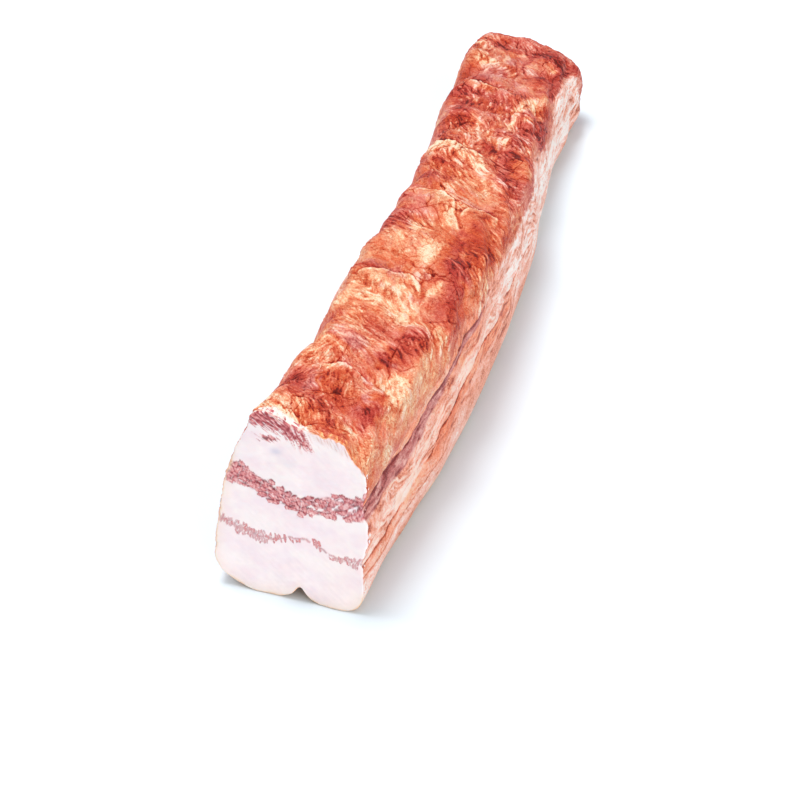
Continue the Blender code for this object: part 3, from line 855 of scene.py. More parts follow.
@functools.lru_cache(maxsize=1)
def skin():
    """Every pattern of the skin, by name, on the pattern grid: relief in millimetres, and masks and tones."""
    a, w, t = skin_grid()
    s = np.clip(a / LENGTH, 0.0, 1.0)
    top = top_mask(t)
    warp = (2.6 * field(9, 9, 8) + 1.0 * field(3, 3, 9), 2.3 * field(9, 9, 10) + 0.9 * field(3, 3, 11))
    large, small, tiny = (
        scales(*kind, (share * warp[0], share * warp[1]))
        for kind, share in ((LARGE_SCALES, 1.0), (SMALL_SCALES, 0.5), (TINY_SCALES, 0.2))
    )
    sheet, sheet_rim_highlight, sheet_edge_shade, _ = scallops()
    groove, groove_edge, crease, from_crease, live = side_marks(a, w, s)

    # Fibres, from the finest to the widest, and single dark and light strokes
    angle = fibre_angle(t, s, top, groove, large[1], small[1], warp)
    seed, reach = FINE_FIBRES
    fine = drawn_along(np.random.default_rng(seed).normal(size=a.shape), angle, reach)
    coarse, broad, strokes = (
        drawn_along(field(size, size, seed), angle, reach) for size, seed, reach in FIBRES.values()
    )
    dark_strokes = smooth((-strokes - 0.75) / 0.5)
    light_strokes = smooth((strokes - 0.85) / 0.5)
    streaks = drawn_along(field(0.55, 0.45, 41), angle, 24) * (1.0 - top)

    shift = (0.35 * warp[0] + 0.8 * broad, 0.35 * warp[1] + 0.6 * coarse)
    patch, patch_edge = crust_patches(shift, 0.12 * broad + 0.13 * coarse + 0.08 * fine, top)
    dark = np.clip(patch["brown"] + patch["maroon"], 0.0, 1.2)
    pale = np.clip(patch["cream"] + 0.4 * patch["gold"], 0.0, 1.2)

    # Torn cracks with a lip on one side, on the zero lines of a warped field, and splits at scales' borders
    far_half = rise(s, FAR_HALF)
    torn = field(12, 9, 19) + 0.35 * field(4, 4, 20) + 0.12 * coarse
    where_torn = field(22, 16, 21) + 0.6 * smooth((s - 0.55) / 0.45) + 0.2 * dark
    where_torn = smooth((where_torn - 0.35) / 0.5) * top
    crack = bell(torn / 0.05) * where_torn
    lip = np.exp(-np.abs(torn) / 0.2) * (torn > 0) * where_torn
    split = bell(large[0] / 0.32) * smooth((field(14, 11, 22) - 0.1) / 0.5)
    small_split = smooth((field(11, 9, 23) + 0.4 * dark + 0.9 * far_half - 0.5) / 0.5)
    small_split = small_split * bell(small[0] / 0.22) * (0.8 + 0.3 * far_half)
    split = np.maximum(split, small_split) * top
    wrinkle = bell(tiny[0] / 0.2) * smooth((field(6, 5, 37) + 0.6) / 0.8)

    crust, bare_front = crust_extent(a, t, s, top, broad, coarse, fine)
    stain, above_groove = smoke_stain(w, t, s, from_crease, live, broad, coarse)
    inside_rind = np.maximum(RIND_BELOW - t, t - RIND_ABOVE) + 0.15 * broad
    rind = smooth(inside_rind / 0.8)

    # Tone and rosiness of the rib side
    lively = 0.4 + 0.9 * smooth((field(13, 10, 39) + 0.5 * dark + 0.3 * pale + 0.3 * far_half) / 1.6 + 0.35)
    strands = 0.04 * broad + 0.05 * coarse + 0.04 * fine
    strands = strands - dark_strokes * (0.17 + 0.08 * dark) + light_strokes * (0.15 + 0.06 * dark)
    # The membranes' raised edges get a painted highlight, with a line of painted shade just beyond them
    tone_top = (
        0.03 * field(26, 20, 25) + 0.04 * field(11, 9, 26) + 0.05 * field(5, 4, 27)
        + lively * strands + 0.08 * (small[1] - 0.5) + 0.07 * (tiny[1] - 0.5)
        + 0.10 * sheet + 0.22 * sheet_rim_highlight - 0.3 * sheet_edge_shade
        - 0.5 * crack - 0.32 * split + 0.16 * lip - 0.08 * wrinkle - 0.2 * patch_edge
    )
    right_edge = band(t, *RIGHT_EDGE, 0.7) * (1.0 - rise(s, RIGHT_EDGE_FADES))
    far_tip = rise(s, FAR_TIP)
    tone_top = TOP_TONE + 0.05 * right_edge - 0.05 * far_tip + tone_top * (1.0 + 0.3 * far_half)
    rose = TOP_ROSE + 0.2 * field(18, 13, 30) + 0.2 * (large[1] - 0.5) + 0.16 * far_half + 0.15 * far_tip
    rose = rose + 0.14 * broad + 0.10 * coarse + 0.12 * field(4, 3, 31) - 0.3 * sheet - 0.25 * right_edge
    for name, (brighter, rosier) in PATCH_EFFECT.items():
        tone_top = tone_top + brighter * patch[name]
        rose = rose + rosier * patch[name]

    # Tone of the long sides, which are calmer low down, of the lean bands and of the whole
    far_side = rise(s, FAR_SIDE) * smooth((t - 5.2) / 1.0)
    calm = 0.45 + 0.55 * smooth((t - 4.9) / 0.7)
    dark_streaks = smooth((-streaks - 0.9) / 0.5)
    tone_side = (
        SIDE_TONE + 0.06 * far_side + 0.05 * field(30, 8, 28) + 0.06 * field(12, 4, 29)
        + calm * (0.07 * streaks + 0.05 * broad + 0.05 * coarse + 0.03 * fine) * (1.0 + 0.3 * far_side)
        + calm * (0.08 * light_strokes - 0.1 * dark_strokes - 0.14 * dark_streaks - 0.1 * wrinkle)
        + 0.12 * band(from_crease, 0.5, 8.0, 2.0) * (1.0 - above_groove) - 0.05 * above_groove
    )
    groove_tone = GROOVE_TONE + 0.1 * streaks + 0.06 * coarse - 0.22 * smooth((-streaks - 0.6) / 0.5)
    groove_tone = groove_tone - 0.1 * dark_strokes + 0.16 * light_strokes
    tone_side = tone_side + (groove_tone - tone_side) * groove - 0.55 * crease - 0.65 * groove_edge
    tone_side = tone_side + bare_front * top * (0.28 - 0.16 * dark_strokes)
    tone = tone_side + (tone_top - tone_side) * crust

    lift = tilted(large, 0.035) + tilted(small, 0.045)
    height = top * (0.20 * field(7, 6, 32) + 0.10 * field(3, 3, 33) + lift + 0.45 * sheet)
    height = height + crust * (0.07 * broad + 0.10 * coarse + 0.06 * fine - 0.10 * dark)
    height = height - 0.5 * crack + 0.3 * lip - 0.35 * split - 0.10 * wrinkle * crust
    plain = (1.0 - crust) * (1.0 - rind) * calm
    height = height + plain * (0.05 * broad + 0.08 * coarse + 0.05 * fine - 0.4 * crease - 0.08 * wrinkle)
    height = height - plain * (0.25 * groove + 0.3 * groove_edge)
    height = height + rind * clear_of_rest(t, 0.0) * 0.05 * coarse
    return {
        "height": height,
        "tone": tone,
        "crust": crust,
        "rose": np.clip(rose, 0.0, 1.0),
        "mauve": np.clip(patch["mauve"], 0.0, 1.0),
        "stain": stain * (1.0 - crust),
        "lean": groove * (1.0 - 0.6 * crust),
        "rind": rind,
    }


def skin_cells(s, t, end_angle):
    """Where a point of the skin lies on the pattern grid, as fractional cells."""
    down = (s * LENGTH + end_angle * END_SKIN_REACH) / CELL
    return down, around_mm(t) / around_table()[1][-1] * skin_grid()[0].shape[1]


def fine_relief(s, t, end_angle, points):
    """Relief too fine for the solid, in millimetres: fibres, cracks and lips, and crags at the blunt end."""
    on_end = np.sin(end_angle)
    above_rest = clear_of_rest(t, on_end)
    from_skin = read(skin()["height"], *skin_cells(s, t, end_angle)) * above_rest
    crags = sum(lumps(points, kind) for kind in END_CRAGS)
    crags = crags - END_CRACK_DEPTH * bell(lumps(points, END_CRACKS) / END_CRACK_WIDTH)
    return from_skin * (1.0 - on_end) + crags * on_end


def closed_faces(rows, columns):
    """Faces of rings of points, closed at both ends by fans to one more point each, the near one first.

    Each ring is a row that meets itself. Faces point out where the rings go round the slab and rows go back.
    """
    row, column = np.meshgrid(np.arange(rows - 1), np.arange(columns), indexing="ij")
    here = row * columns + column
    beside = row * columns + (column + 1) % columns
    sides = np.stack([here, here + columns, beside + columns, beside], axis=-1).reshape(-1, 4)
    first = np.arange(columns)
    second = (first + 1) % columns
    near_middle = np.full(columns, rows * columns)
    last_row = (rows - 1) * columns
    near_fan = np.stack([near_middle, first, second], axis=-1)
    far_fan = np.stack([near_middle + 1, last_row + second, last_row + first], axis=-1)
    return sides.tolist() + near_fan.tolist() + far_fan.tolist()


def closed_piece(name, rings, masks, turned=False):
    """A mesh object from rings of points in millimetres, closed by flat fans, with named masks.

    A mask has a value for each point of the rings. Turned makes its faces point the other way.
    """
    points = np.concatenate([rings.reshape(-1, 3), rings[[0, -1]].mean(axis=1)])
    faces = closed_faces(*rings.shape[:2])
    if turned:
        faces = [corners[::-1] for corners in faces]
    mesh = bpy.data.meshes.new(name)
    mesh.from_pydata((points - centring()) * MM, [], faces)
    mesh.update()
    for mask, values in masks.items():
        values = np.concatenate([values.ravel(), values[[0, -1]].mean(axis=1)])
        layer = mesh.attributes.new(mask, "FLOAT", "POINT")
        layer.data.foreach_set("value", values.astype(np.float32))
    mesh.shade_smooth()
    mesh.set_sharp_from_angle(angle=SHARP_ANGLE)
    piece = bpy.data.objects.new(name, mesh)
    bpy.context.scene.collection.objects.link(piece)
    return piece


def skin_masks(s, t, end_angle, points):
    """The skin's patterns at the given parameters, with the blunt end's own tones."""
    cells_at = skin_cells(s, t % TURN, end_angle)
    masks = {name: read(grid, *cells_at) for name, grid in skin().items() if name != "height"}
    on_end = np.sin(end_angle)
    tone = END_TONE + sum(lumps(points, kind) for kind in END_TONES)
    masks["tone"] = masks["tone"] * (1.0 - on_end) + tone * on_end
    for name in ("stain", "lean", "rind", "mauve"):
        masks[name] = masks[name] * (1.0 - on_end)
    masks["crust"] = masks["crust"] * (1.0 - on_end) + on_end
    return masks


def make_skin_part(index):
    """One length of the slab's skin: the surface all round, closed at both ends by flat fans.

    Its end rows are shared with the next lengths, so the surface runs on. The last one also closes over
    the blunt end.
    """
    t = np.concatenate([np.linspace(low, high, count, endpoint=False) for low, high, count in SKIN_COLUMNS])
    start, end = SKIN_ENDS[index:index + 2]
    s = np.linspace(start, end, int(LENGTH * (end - start) / ROW_STEP) + 1)
    end_angle = np.zeros_like(s)
    if end == SKIN_ENDS[-1]:
        closing = np.linspace(0.0, math.pi / 2.0, SKIN_END_ROWS + 2)[1:-1]
        s = np.concatenate([s, np.ones(SKIN_END_ROWS)])
        end_angle = np.concatenate([end_angle, closing])
    s, t = np.broadcast_arrays(s[:, None], t[None, :])
    end_angle = np.broadcast_to(end_angle[:, None], s.shape)
    rings = slab_surface(s, t, end_angle, detail=fine_relief)
    return closed_piece(f"skin_part_{index + 1}", rings, skin_masks(s, t, end_angle, rings))


def flat_lumps(x, z, size_x, size_z, seed):
    """Seeded lumps in the plane of the cut, about unit spread, with their own size each way."""
    points = np.stack([x / size_x, np.zeros_like(x), z / size_z], axis=-1)
    return lumps(points, (LUMP_UNIT, 1.0, seed))


def grains(x, z, size_x, size_z, seed):
    """Seeded grains in the plane of the cut, each the points nearest to one jittered middle.

    Returns the gap to the next grain (0 at a border, about 1 in the middle), the grain's own value, and
    its middle in millimetres.
    """
    rng = np.random.default_rng(seed)
    columns, rows = int(GRAIN_FIELD[0] / size_x), int(GRAIN_FIELD[1] / size_z)
    start_x, start_z = GRAIN_START
    middle_x, middle_z = rng.uniform(0.12, 0.88, (2, columns, rows))
    middle_x = middle_x + np.arange(columns)[:, None]
    middle_z = middle_z + np.arange(rows)[None, :]
    value = rng.uniform(0.0, 1.0, (columns, rows))
    u, v = (x + start_x) / size_x, (z + start_z) / size_z
    column, row = np.floor(u).astype(int), np.floor(v).astype(int)
    nearest = np.full(x.shape, 9.0)
    second = np.full(x.shape, 9.0)
    own, own_x, own_z = np.zeros_like(x), np.zeros_like(x), np.zeros_like(x)
    for step_x in (-1, 0, 1):
        for step_z in (-1, 0, 1):
            c = np.clip(column + step_x, 0, columns - 1)
            r = np.clip(row + step_z, 0, rows - 1)
            distance = np.hypot(u - middle_x[c, r], v - middle_z[c, r])
            nearer = distance < nearest
            second = np.where(nearer, nearest, np.minimum(second, distance))
            nearest = np.where(nearer, distance, nearest)
            own = np.where(nearer, value[c, r], own)
            own_x = np.where(nearer, middle_x[c, r] * size_x - start_x, own_x)
            own_z = np.where(nearer, middle_z[c, r] * size_z - start_z, own_z)
    return second - nearest, own, own_x, own_z


def blended_strokes(x, z, steep, width, length, seed):
    """Random strokes on the cut that slant gently, or steeply where the share steep is 1."""
    total = 0.0
    for slope, share in ((GENTLE_SLOPE, 1.0 - steep), (STEEP_SLOPE, steep)):
        along_stroke = x * math.cos(slope) + z * math.sin(slope)
        across_stroke = z * math.cos(slope) - x * math.sin(slope)
        total = total + share * flat_lumps(across_stroke, along_stroke, width, length, seed)
    return total


def grain_band(x, z):
    """The main lean band, of large grains: its share, its tone with painted shade, and its relief in
    millimetres.
    """
    bent_x = x + 0.25 * flat_lumps(x, z, 3.4, 3.4, 52) + 0.07 * flat_lumps(x, z, 1.1, 1.1, 77)
    bent_z = z + 0.2 * flat_lumps(x, z, 3.4, 3.4, 53) + 0.07 * flat_lumps(x, z, 1.1, 1.1, 78)
    bent_z = bent_z + BAND_SLANT * x
    gap, own, grain_x, grain_z = grains(bent_x, bent_z, *BAND_GRAIN, 54)
    off, share = to_polyline(grain_x, grain_z - BAND_SLANT * grain_x, LEAN_BAND)
    missing = 0.02 + 0.2 * band(share, 0.62, 0.9, 0.1)
    member = np.abs(off) < straight(LEAN_BAND_HALF, share) - 0.3 + 0.9 * (own - 0.5)
    member = member & ((own * 7.3) % 1.0 > missing)
    round_off = np.hypot((bent_x - grain_x) / BAND_GRAIN[0], (bent_z - grain_z) / BAND_GRAIN[1])
    body = smooth((0.78 - round_off) / 0.2)
    pale_gap = (1.0 - smooth((gap - 0.02) / 0.16)) * smooth((flat_lumps(x, z, 2.2, 2.2, 69) - 0.1) / 0.7)
    off_here, share_here = to_polyline(x, z, LEAN_BAND)
    inside = smooth((straight(LEAN_BAND_HALF, share_here) - 0.9 - np.abs(off_here)) / 0.9)
    filled = smooth((flat_lumps(x, z, 1.9, 1.5, 70) + 0.9) / 0.5)
    lean = np.maximum(member * body, 0.85 * inside * filled)
    lean = lean * (0.93 + 0.1 * flat_lumps(x, z, 0.9, 0.9, 76)) * (1.0 - 0.5 * pale_gap)

    # Painted shade on each grain: darker towards its rim, most of all on its upper side, lighter in its
    # middle
    upper = smooth((bent_z - grain_z) / 0.9 + 0.3)
    tone = 0.72 + 0.2 * (own - 0.5) + 0.11 * flat_lumps(x, z, 0.7, 0.7, 62) + 0.3 * pale_gap
    tone = tone - (0.24 + 0.34 * upper) * smooth((round_off - 0.24) / 0.36) - 0.06 * upper
    return lean, tone, member * (0.24 * body - 0.12)


def thin_band(x, z):
    """The lower lean band, of small upright grains and a broken line: its share and its tone, with painted
    shade.
    """
    wavy_z = z + 0.4 * flat_lumps(x, z, 4, 4, 57)
    gap, own, grain_x, grain_z = grains(x + THIN_SLANT * z, wavy_z, *THIN_GRAIN, 58)
    off, share = to_polyline(grain_x - THIN_SLANT * grain_z, grain_z, THIN_BAND)
    member = np.abs(off) < straight(THIN_BAND_HALF, share) + 0.7 * (own - 0.5)
    lean = member * smooth((gap - 0.03) / 0.2) * (0.45 + 0.55 * own)
    off_line, share_here = to_polyline(x, z + 0.3 * flat_lumps(x, z, 5, 5, 59), THIN_BAND)
    broken = smooth((flat_lumps(x, z, 1.4, 2.0, 68) + 0.9) / 0.6)
    line = 0.6 * bell(off_line / 0.45) * band(share_here, 0.0, 0.84, 0.05) * broken
    # Painted shade: each grain darkens towards its border with the next
    tone = 0.56 + 0.3 * (own - 0.5) - 0.3 * (1.0 - smooth((gap - 0.1) / 0.3))
    return np.maximum(lean, line), tone


def top_streak(x, z):
    """The lean under the cut's upper edge, in strands: its share, its tone, and fine and wide strands."""
    off, share = to_polyline(x, z, TOP_STREAK)
    steep = smooth((share - 0.5) / 0.35)
    strands = blended_strokes(x, z, steep, 0.55, 4.0, 60)
    wide = blended_strokes(x, z, steep, 1.5, 6.0, 61)
    reach = straight(TOP_STREAK_HALF, share) - np.abs(off)
    lean = smooth((reach + 0.9 * strands + 0.6 * wide) / 0.6 + 0.4)
    parted = smooth((strands + 0.3 * wide - 0.7) / 0.5) * smooth((share - 0.25) / 0.3)
    lean = lean * (1.0 - 0.8 * parted) * smooth((z - 50.0) / 1.5)
    tone = 0.41 + 0.15 * strands + 0.08 * wide + 0.16 * share + 0.12 * flat_lumps(x, z, 1.1, 1.1, 75)
    return lean, tone, strands, wide


def cut_patterns(x, z, rim):
    """Masks, tones and relief of the fresh cut at section point x, z; rim is the distance to the skin."""
    large, tone, grain_height = grain_band(x, z)
    thin, thin_tone = thin_band(x, z)
    streak, streak_tone, strands, wide = top_streak(x, z)
    specks = 0.9 * smooth((1.15 - np.hypot((x + 8.2) / 3.2, (z - 53.7) / 0.9) + 0.35 * strands) / 0.4)
    tone = tone + (streak_tone - tone) * smooth(streak / 0.3) * (z > STREAK_ABOVE)
    tone = tone + (thin_tone - tone) * (z < THIN_BAND_BELOW)

    # Crust outside the cut's hump and along its upper right edge, and combed fibres above the streak
    off_hump, _ = to_polyline(x, z, HUMP)
    crusty = smooth((off_hump + 0.25 * flat_lumps(x, z, 1.4, 1.4, 71)) / 0.25 + 0.5)
    crusty = crusty * smooth((x - 13.0 + 1.2 * wide) / 1.5)
    edge = smooth((0.55 - rim) / 0.3) * smooth((x - 3.0) / 4.0) * smooth((z - 47.0) / 3.0)
    crusty = np.maximum(crusty, edge)
    fringe = smooth((z - 57.5 + 0.3 * x) / 1.4) * (1.0 - streak) * (1.0 - crusty)

    # Smoke at the left and lower edges, and changes in the fat
    outer = smooth((-x - 16.0) / 6.0) * smooth((59.0 - z) / 6.0) + smooth((9.0 - z) / 4.0)
    outer = np.clip(outer, 0.0, 1.0)
    smoked = 0.6 * bell(rim / (0.7 + 0.2 * flat_lumps(x, z, 5, 5, 63))) * outer
    drips = 0.6 * fringe * smooth((0.9 - rim + 0.5 * strands) / 1.2) * (1.0 - smooth(x / 5.0))
    lower_right = smooth((x - 5.0) / 12.0) * smooth((28.0 - z) / 12.0)
    bruise = sum(
        strength * np.exp(-(((x - middle_x) / width) ** 2 + ((z - middle_z) / height) ** 2))
        for middle_x, middle_z, width, height, strength in BRUISES
    )

    relief_here = 0.13 * flat_lumps(x, z, 14, 9, 66) + 0.03 * flat_lumps(x, z, 2.2, 1.4, 67) + grain_height
    relief_here = relief_here - 0.08 * thin + (0.06 * fringe + 0.12 * streak) * strands
    relief_here = relief_here + crusty * (0.12 * flat_lumps(x, z, 1.6, 1.6, 74) - 0.15)
    masks = {
        "lean": np.max([large, thin, streak, specks], axis=0),
        "smoked": np.maximum(smoked, drips),
        "haze": 0.45 + 0.3 * flat_lumps(x, z, 14, 8, 64) + 0.16 * flat_lumps(x, z, 4, 3, 65),
        "combed": np.minimum(fringe * (0.12 + 0.35 * strands), 0.7),
        "bruise": bruise,
        "peach": 0.35 * bell(rim / 3.0) * outer + 0.10 * lower_right,
        "crusty": crusty,
    }
    masks = {name: np.clip(mask, 0.0, 1.0) for name, mask in masks.items()}
    masks["tone"] = tone
    masks["crusty_tone"] = 0.52 + 0.12 * (flat_lumps(x, z, 1.1, 1.1, 72) + flat_lumps(x, z, 2.6, 2.0, 73))
    return masks, relief_here


def make_cut_face():
    """The fresh cut: a thin plate on the near end, the section's outline drawn inwards ring by ring.

    It stands proud of the end by its own relief, and is rounded where it meets the skin.
    """
    t = np.linspace(0.0, TURN, CUT_COLUMNS, endpoint=False)
    s = np.zeros_like(t)
    bare = section(s, t)
    base = place(s, bare[:, 0], bare[:, 1], s)
    height = relief(s, t, s, base) + fine_relief(s, t, s, base)
    rim_line = bare + outward(s, t) * (height - CUT_INSET)[:, None]
    rim_line[:, 1] = np.maximum(rim_line[:, 1], CUT_LOWEST)
    middle = np.array(CUT_MIDDLE)

    share = np.linspace(1.0, 0.0, CUT_RINGS, endpoint=False)
    rings = middle + (rim_line - middle)[None] * share[:, None, None]
    x, z = rings[..., 0], rings[..., 1]
    reach = np.linalg.norm(rim_line - middle, axis=1)
    rim = (1.0 - share)[:, None] * reach[None, :]
    masks, face_height = cut_patterns(x, z, rim)
    proud = np.maximum(CUT_PROUD + face_height, CUT_THINNEST)
    rounding = np.sqrt(1.0 - (1.0 - np.clip(rim / CUT_ROUNDING, 0, 1)) ** 2)
    face = place(np.zeros_like(x), x, z, -proud * rounding)
    back = place(s, rim_line[:, 0], rim_line[:, 1], np.full_like(t, CUT_THICKNESS))

    rings = np.concatenate([back[None], face])
    masks = {name: np.concatenate([mask[:1], mask]) for name, mask in masks.items()}
    return closed_piece("cut_face", rings, masks, turned=True)


def rgba(red, green, blue):
    """Linear colour of a display colour given in 0 to 255."""
    levels = [level / 255.0 for level in (red, green, blue)]
    return tuple(v / 12.92 if v <= 0.04045 else ((v + 0.055) / 1.055) ** 2.4 for v in levels) + (1.0,)


def amount(name, description, default, low=0.0, unit="NONE"):
    """A number setting with a lowest value."""
    return bpy.props.FloatProperty(name=name, description=description, default=default, min=low, unit=unit)


def colour(name, description, red, green, blue):
    """A colour setting whose default is a display colour given in 0 to 255."""
    return bpy.props.FloatVectorProperty(
        name=name, description=description, subtype="COLOR", size=4, min=0.0, max=1.0,
        default=rgba(red, green, blue),
    )


class Nodes:
    """Small helper that adds and links nodes in one tree."""

    def __init__(self, tree):
        self.tree = tree

    def add(self, kind, inputs=None, **settings):
        """A new node with its settings, and with inputs given by name or number."""
        node = self.tree.nodes.new(kind)
        for name, value in settings.items():
            setattr(node, name, value)
        for name, value in (inputs or {}).items():
            self.feed(value, node.inputs[name])
        return node

    def feed(self, value, socket):
        """Links a socket to an input, or sets the input's value."""
        if isinstance(value, bpy.types.NodeSocket):
            self.tree.links.new(value, socket)
        else:
            socket.default_value = value

    def mask(self, name):
        """A mask or tone that the piece's points hold."""
        return self.add("ShaderNodeAttribute", attribute_name=name).outputs["Fac"]

    def math(self, operation, first, second=0.0, clamp=False):
        """The result of one sum."""
        node = self.add("ShaderNodeMath", {0: first, 1: second}, operation=operation, use_clamp=clamp)
        return node.outputs[0]

    def about_zero(self, value, strength):
        """A noise value about 0.5, moved to about 0 and scaled."""
        return self.math("MULTIPLY", self.math("SUBTRACT", value, 0.5), strength)

    def mix(self, share, first, second, blend="MIX"):
        """The first colour where the share is 0 and the second where it is 1."""
        node = self.add("ShaderNodeMix", data_type="RGBA", blend_type=blend)
        for name, value in (("Factor_Float", share), ("A_Color", first), ("B_Color", second)):
            socket = next(socket for socket in node.inputs if socket.identifier == name)
            self.feed(value, socket)
        return next(socket for socket in node.outputs if socket.identifier == "Result_Color")

    def ramp(self, value, stops):
        """The colour at a value, between stops of (position, colour)."""
        node = self.add("ShaderNodeValToRGB", {0: value})
        elements = node.color_ramp.elements
        while len(elements) < len(stops):
            elements.new(0.5)
        for element, (position, shade) in zip(elements, stops):
            element.position = position
            element.color = shade
        return node.outputs["Color"]


def grain_group():
    """Fine grain shared by all finishes.

    Its inputs are strengths. Its outputs are a speckle and a mottling about 0, wrinkles, pits and patches
    about 0.5, and lines that are 1 on thin bent lines.
    """
    group = bpy.data.node_groups.new("fine_grain", "ShaderNodeTree")
    sockets = {
        "INPUT": ("Wrinkle strength", "Pit strength", "Mottling strength"),
        "OUTPUT": ("Speckle", "Mottling", "Wrinkles", "Pits", "Patches", "Lines"),
    }
    for direction, names in sockets.items():
        for name in names:
            group.interface.new_socket(name, in_out=direction, socket_type="NodeSocketFloat")
    nodes = Nodes(group)
    strength = nodes.add("NodeGroupInput").outputs
    where = nodes.add("ShaderNodeTexCoord").outputs["Object"]
    noise = {}
    for name, (scale, detail, roughness, distortion) in GRAIN_NOISES.items():
        inputs = {"Vector": where, "Scale": scale, "Detail": detail, "Roughness": roughness}
        noise[name] = nodes.add("ShaderNodeTexNoise", {**inputs, "Distortion": distortion}).outputs["Fac"]
    from_wrinkles = nodes.about_zero(noise["Wrinkles"], strength["Wrinkle strength"])
    from_pits = nodes.about_zero(noise["Pits"], strength["Pit strength"])
    from_line = nodes.math("ABSOLUTE", nodes.math("SUBTRACT", noise.pop("Bends"), 0.5))
    line = nodes.math("SUBTRACT", 1.0, nodes.math("MULTIPLY", from_line, LINE_FINENESS), clamp=True)
    threshold, steepness = LINE_PATCHES
    above = nodes.math("SUBTRACT", noise["Patches"], threshold)
    shown = nodes.math("MULTIPLY", above, steepness, clamp=True)
    results = {
        "Speckle": nodes.math("ADD", from_wrinkles, from_pits),
        "Mottling": nodes.about_zero(noise["Patches"], strength["Mottling strength"]),
        "Lines": nodes.math("MULTIPLY", line, shown),
        **noise,
    }
    nodes.add("NodeGroupOutput", results)
    return group


def shared_grain(nodes, wrinkles, pits, mottling):
    """The shared grain's outputs in a material's own tree, at that material's own strengths."""
    group = bpy.data.node_groups.get("fine_grain") or grain_group()
    strengths = {"Wrinkle strength": wrinkles, "Pit strength": pits, "Mottling strength": mottling}
    node = nodes.add("ShaderNodeGroup", node_tree=group)
    for name, value in strengths.items():
        nodes.feed(value, node.inputs[name])
    return node.outputs


def new_material(name):
    """A material with its node helper and its shader."""
    material = bpy.data.materials.new(name)
    material.use_nodes = True
    return material, Nodes(material.node_tree), material.node_tree.nodes["Principled BSDF"]


def shades(colours, family, **places):
    """A ramp's stops: the place of each shade of one family of colours."""
    return [(place_at, getattr(colours, f"{family}_{shade}")) for shade, place_at in places.items()]


def meat_finish(nodes, shader, base_colour, grain, height, finish):
    """Moist meat or fat: a roughness that varies in patches, bumps of the given height and a soft inside."""
    roughness, patchiness, strength, distance, softness, shine = finish
    bump = nodes.add("ShaderNodeBump", {"Height": height, "Strength": strength, "Distance": distance})
    inputs = {
        "Base Color": base_colour,
        "Roughness": nodes.math("ADD", nodes.math("MULTIPLY", grain["Patches"], patchiness), roughness),
        "Normal": bump.outputs["Normal"],
        "Specular IOR Level": shine,
        "Subsurface Weight": softness,
        "Subsurface Radius": SOFT_RADIUS,
        "Subsurface Scale": SOFT_SCALE,
    }
    for name, value in inputs.items():
        nodes.feed(value, shader.inputs[name])


def smoked_skin(look):
    """Browned crust, streaked fat, lean bands and rind, chosen by the skin's masks."""
    material, nodes, shader = new_material("smoked_skin")
    grain = shared_grain(nodes, look.speckle, look.pits, SKIN_MOTTLING)
    tone = nodes.math("ADD", nodes.math("ADD", nodes.mask("tone"), grain["Speckle"]), grain["Mottling"])
    tone = nodes.math("SUBTRACT", tone, nodes.math("MULTIPLY", grain["Lines"], look.lines))

    orange = nodes.ramp(tone, shades(
        look, "crust", black=0.0, dark=0.2, brown=0.4, orange=0.55, gold=0.7, cream=0.84, pale=1.0
    ))
    rose = nodes.ramp(tone, shades(look, "rose", black=0.0, dark=0.25, middle=0.5, light=0.75, pale=1.0))
    mauve = nodes.ramp(tone, shades(look, "mauve", dark=0.1, middle=0.5, light=0.9))
    fat = nodes.ramp(tone, shades(look, "fat", dark=0.0, brown=0.28, peach=0.5, pink=0.68, white=0.85))
    rind = nodes.ramp(tone, shades(look, "rind", dark=0.1, middle=0.5, light=0.9))

    crust = nodes.mix(nodes.mask("rose"), orange, rose)
    crust = nodes.mix(nodes.math("MULTIPLY", nodes.mask("mauve"), MAUVE_SHARE), crust, mauve)
    stained = nodes.mix(1.0, fat, look.stain, "MULTIPLY")
    side = nodes.mix(nodes.math("MULTIPLY", nodes.mask("stain"), STAIN_SHARE), fat, stained)
    side = nodes.mix(nodes.mask("lean"), side, mauve)
    side = nodes.mix(nodes.mask("rind"), side, rind)
    height = nodes.math("ADD", grain["Wrinkles"], nodes.math("MULTIPLY", grain["Pits"], PIT_BUMP))
    height = nodes.math("SUBTRACT", height, nodes.math("MULTIPLY", grain["Lines"], LINE_BUMP))
    base_colour = nodes.mix(nodes.mask("crust"), side, crust)
    meat_finish(nodes, shader, base_colour, grain, height, SKIN_FINISH)
    return material


def fresh_cut(look):
    """White fat with lean in it, thinly smoked at the edge, moist."""
    material, nodes, shader = new_material("fresh_cut")
    grain = shared_grain(nodes, CUT_SPECKLE, 0.0, CUT_MOTTLING)
    haze = nodes.math("ADD", nodes.mask("haze"), grain["Mottling"], clamp=True)
    fat = nodes.mix(haze, look.fat, look.fat_haze)
    for mask, shade in (("peach", look.fat_peach), ("combed", look.fringe), ("bruise", look.bruise)):
        fat = nodes.mix(nodes.mask(mask), fat, shade)
    tone = nodes.math("ADD", nodes.mask("tone"), grain["Speckle"])
    lean = nodes.ramp(tone, shades(look, "lean", black=0.0, dark=0.28, middle=0.5, light=0.75, pale=1.0))
    base_colour = nodes.mix(nodes.mask("lean"), fat, lean)
    speckled = nodes.math("MULTIPLY", grain["Speckle"], nodes.mask("smoked"))
    smoked = nodes.math("ADD", nodes.mask("smoked"), speckled, clamp=True)
    shade = nodes.ramp(smoked, shades(look, "smoked", pale=0.0, middle=0.5, dark=1.0))
    smoke_share = nodes.math("MULTIPLY", smoked, SMOKE_STRENGTH, clamp=True)
    base_colour = nodes.mix(smoke_share, base_colour, shade)
    crusty_tone = nodes.math("ADD", nodes.mask("crusty_tone"), grain["Speckle"])
    crusty = nodes.ramp(crusty_tone, shades(look, "crust", dark=0.1, orange=0.5, gold=0.9))
    base_colour = nodes.mix(nodes.mask("crusty"), base_colour, crusty)
    meat_finish(nodes, shader, base_colour, grain, grain["Wrinkles"], CUT_FINISH)
    return material


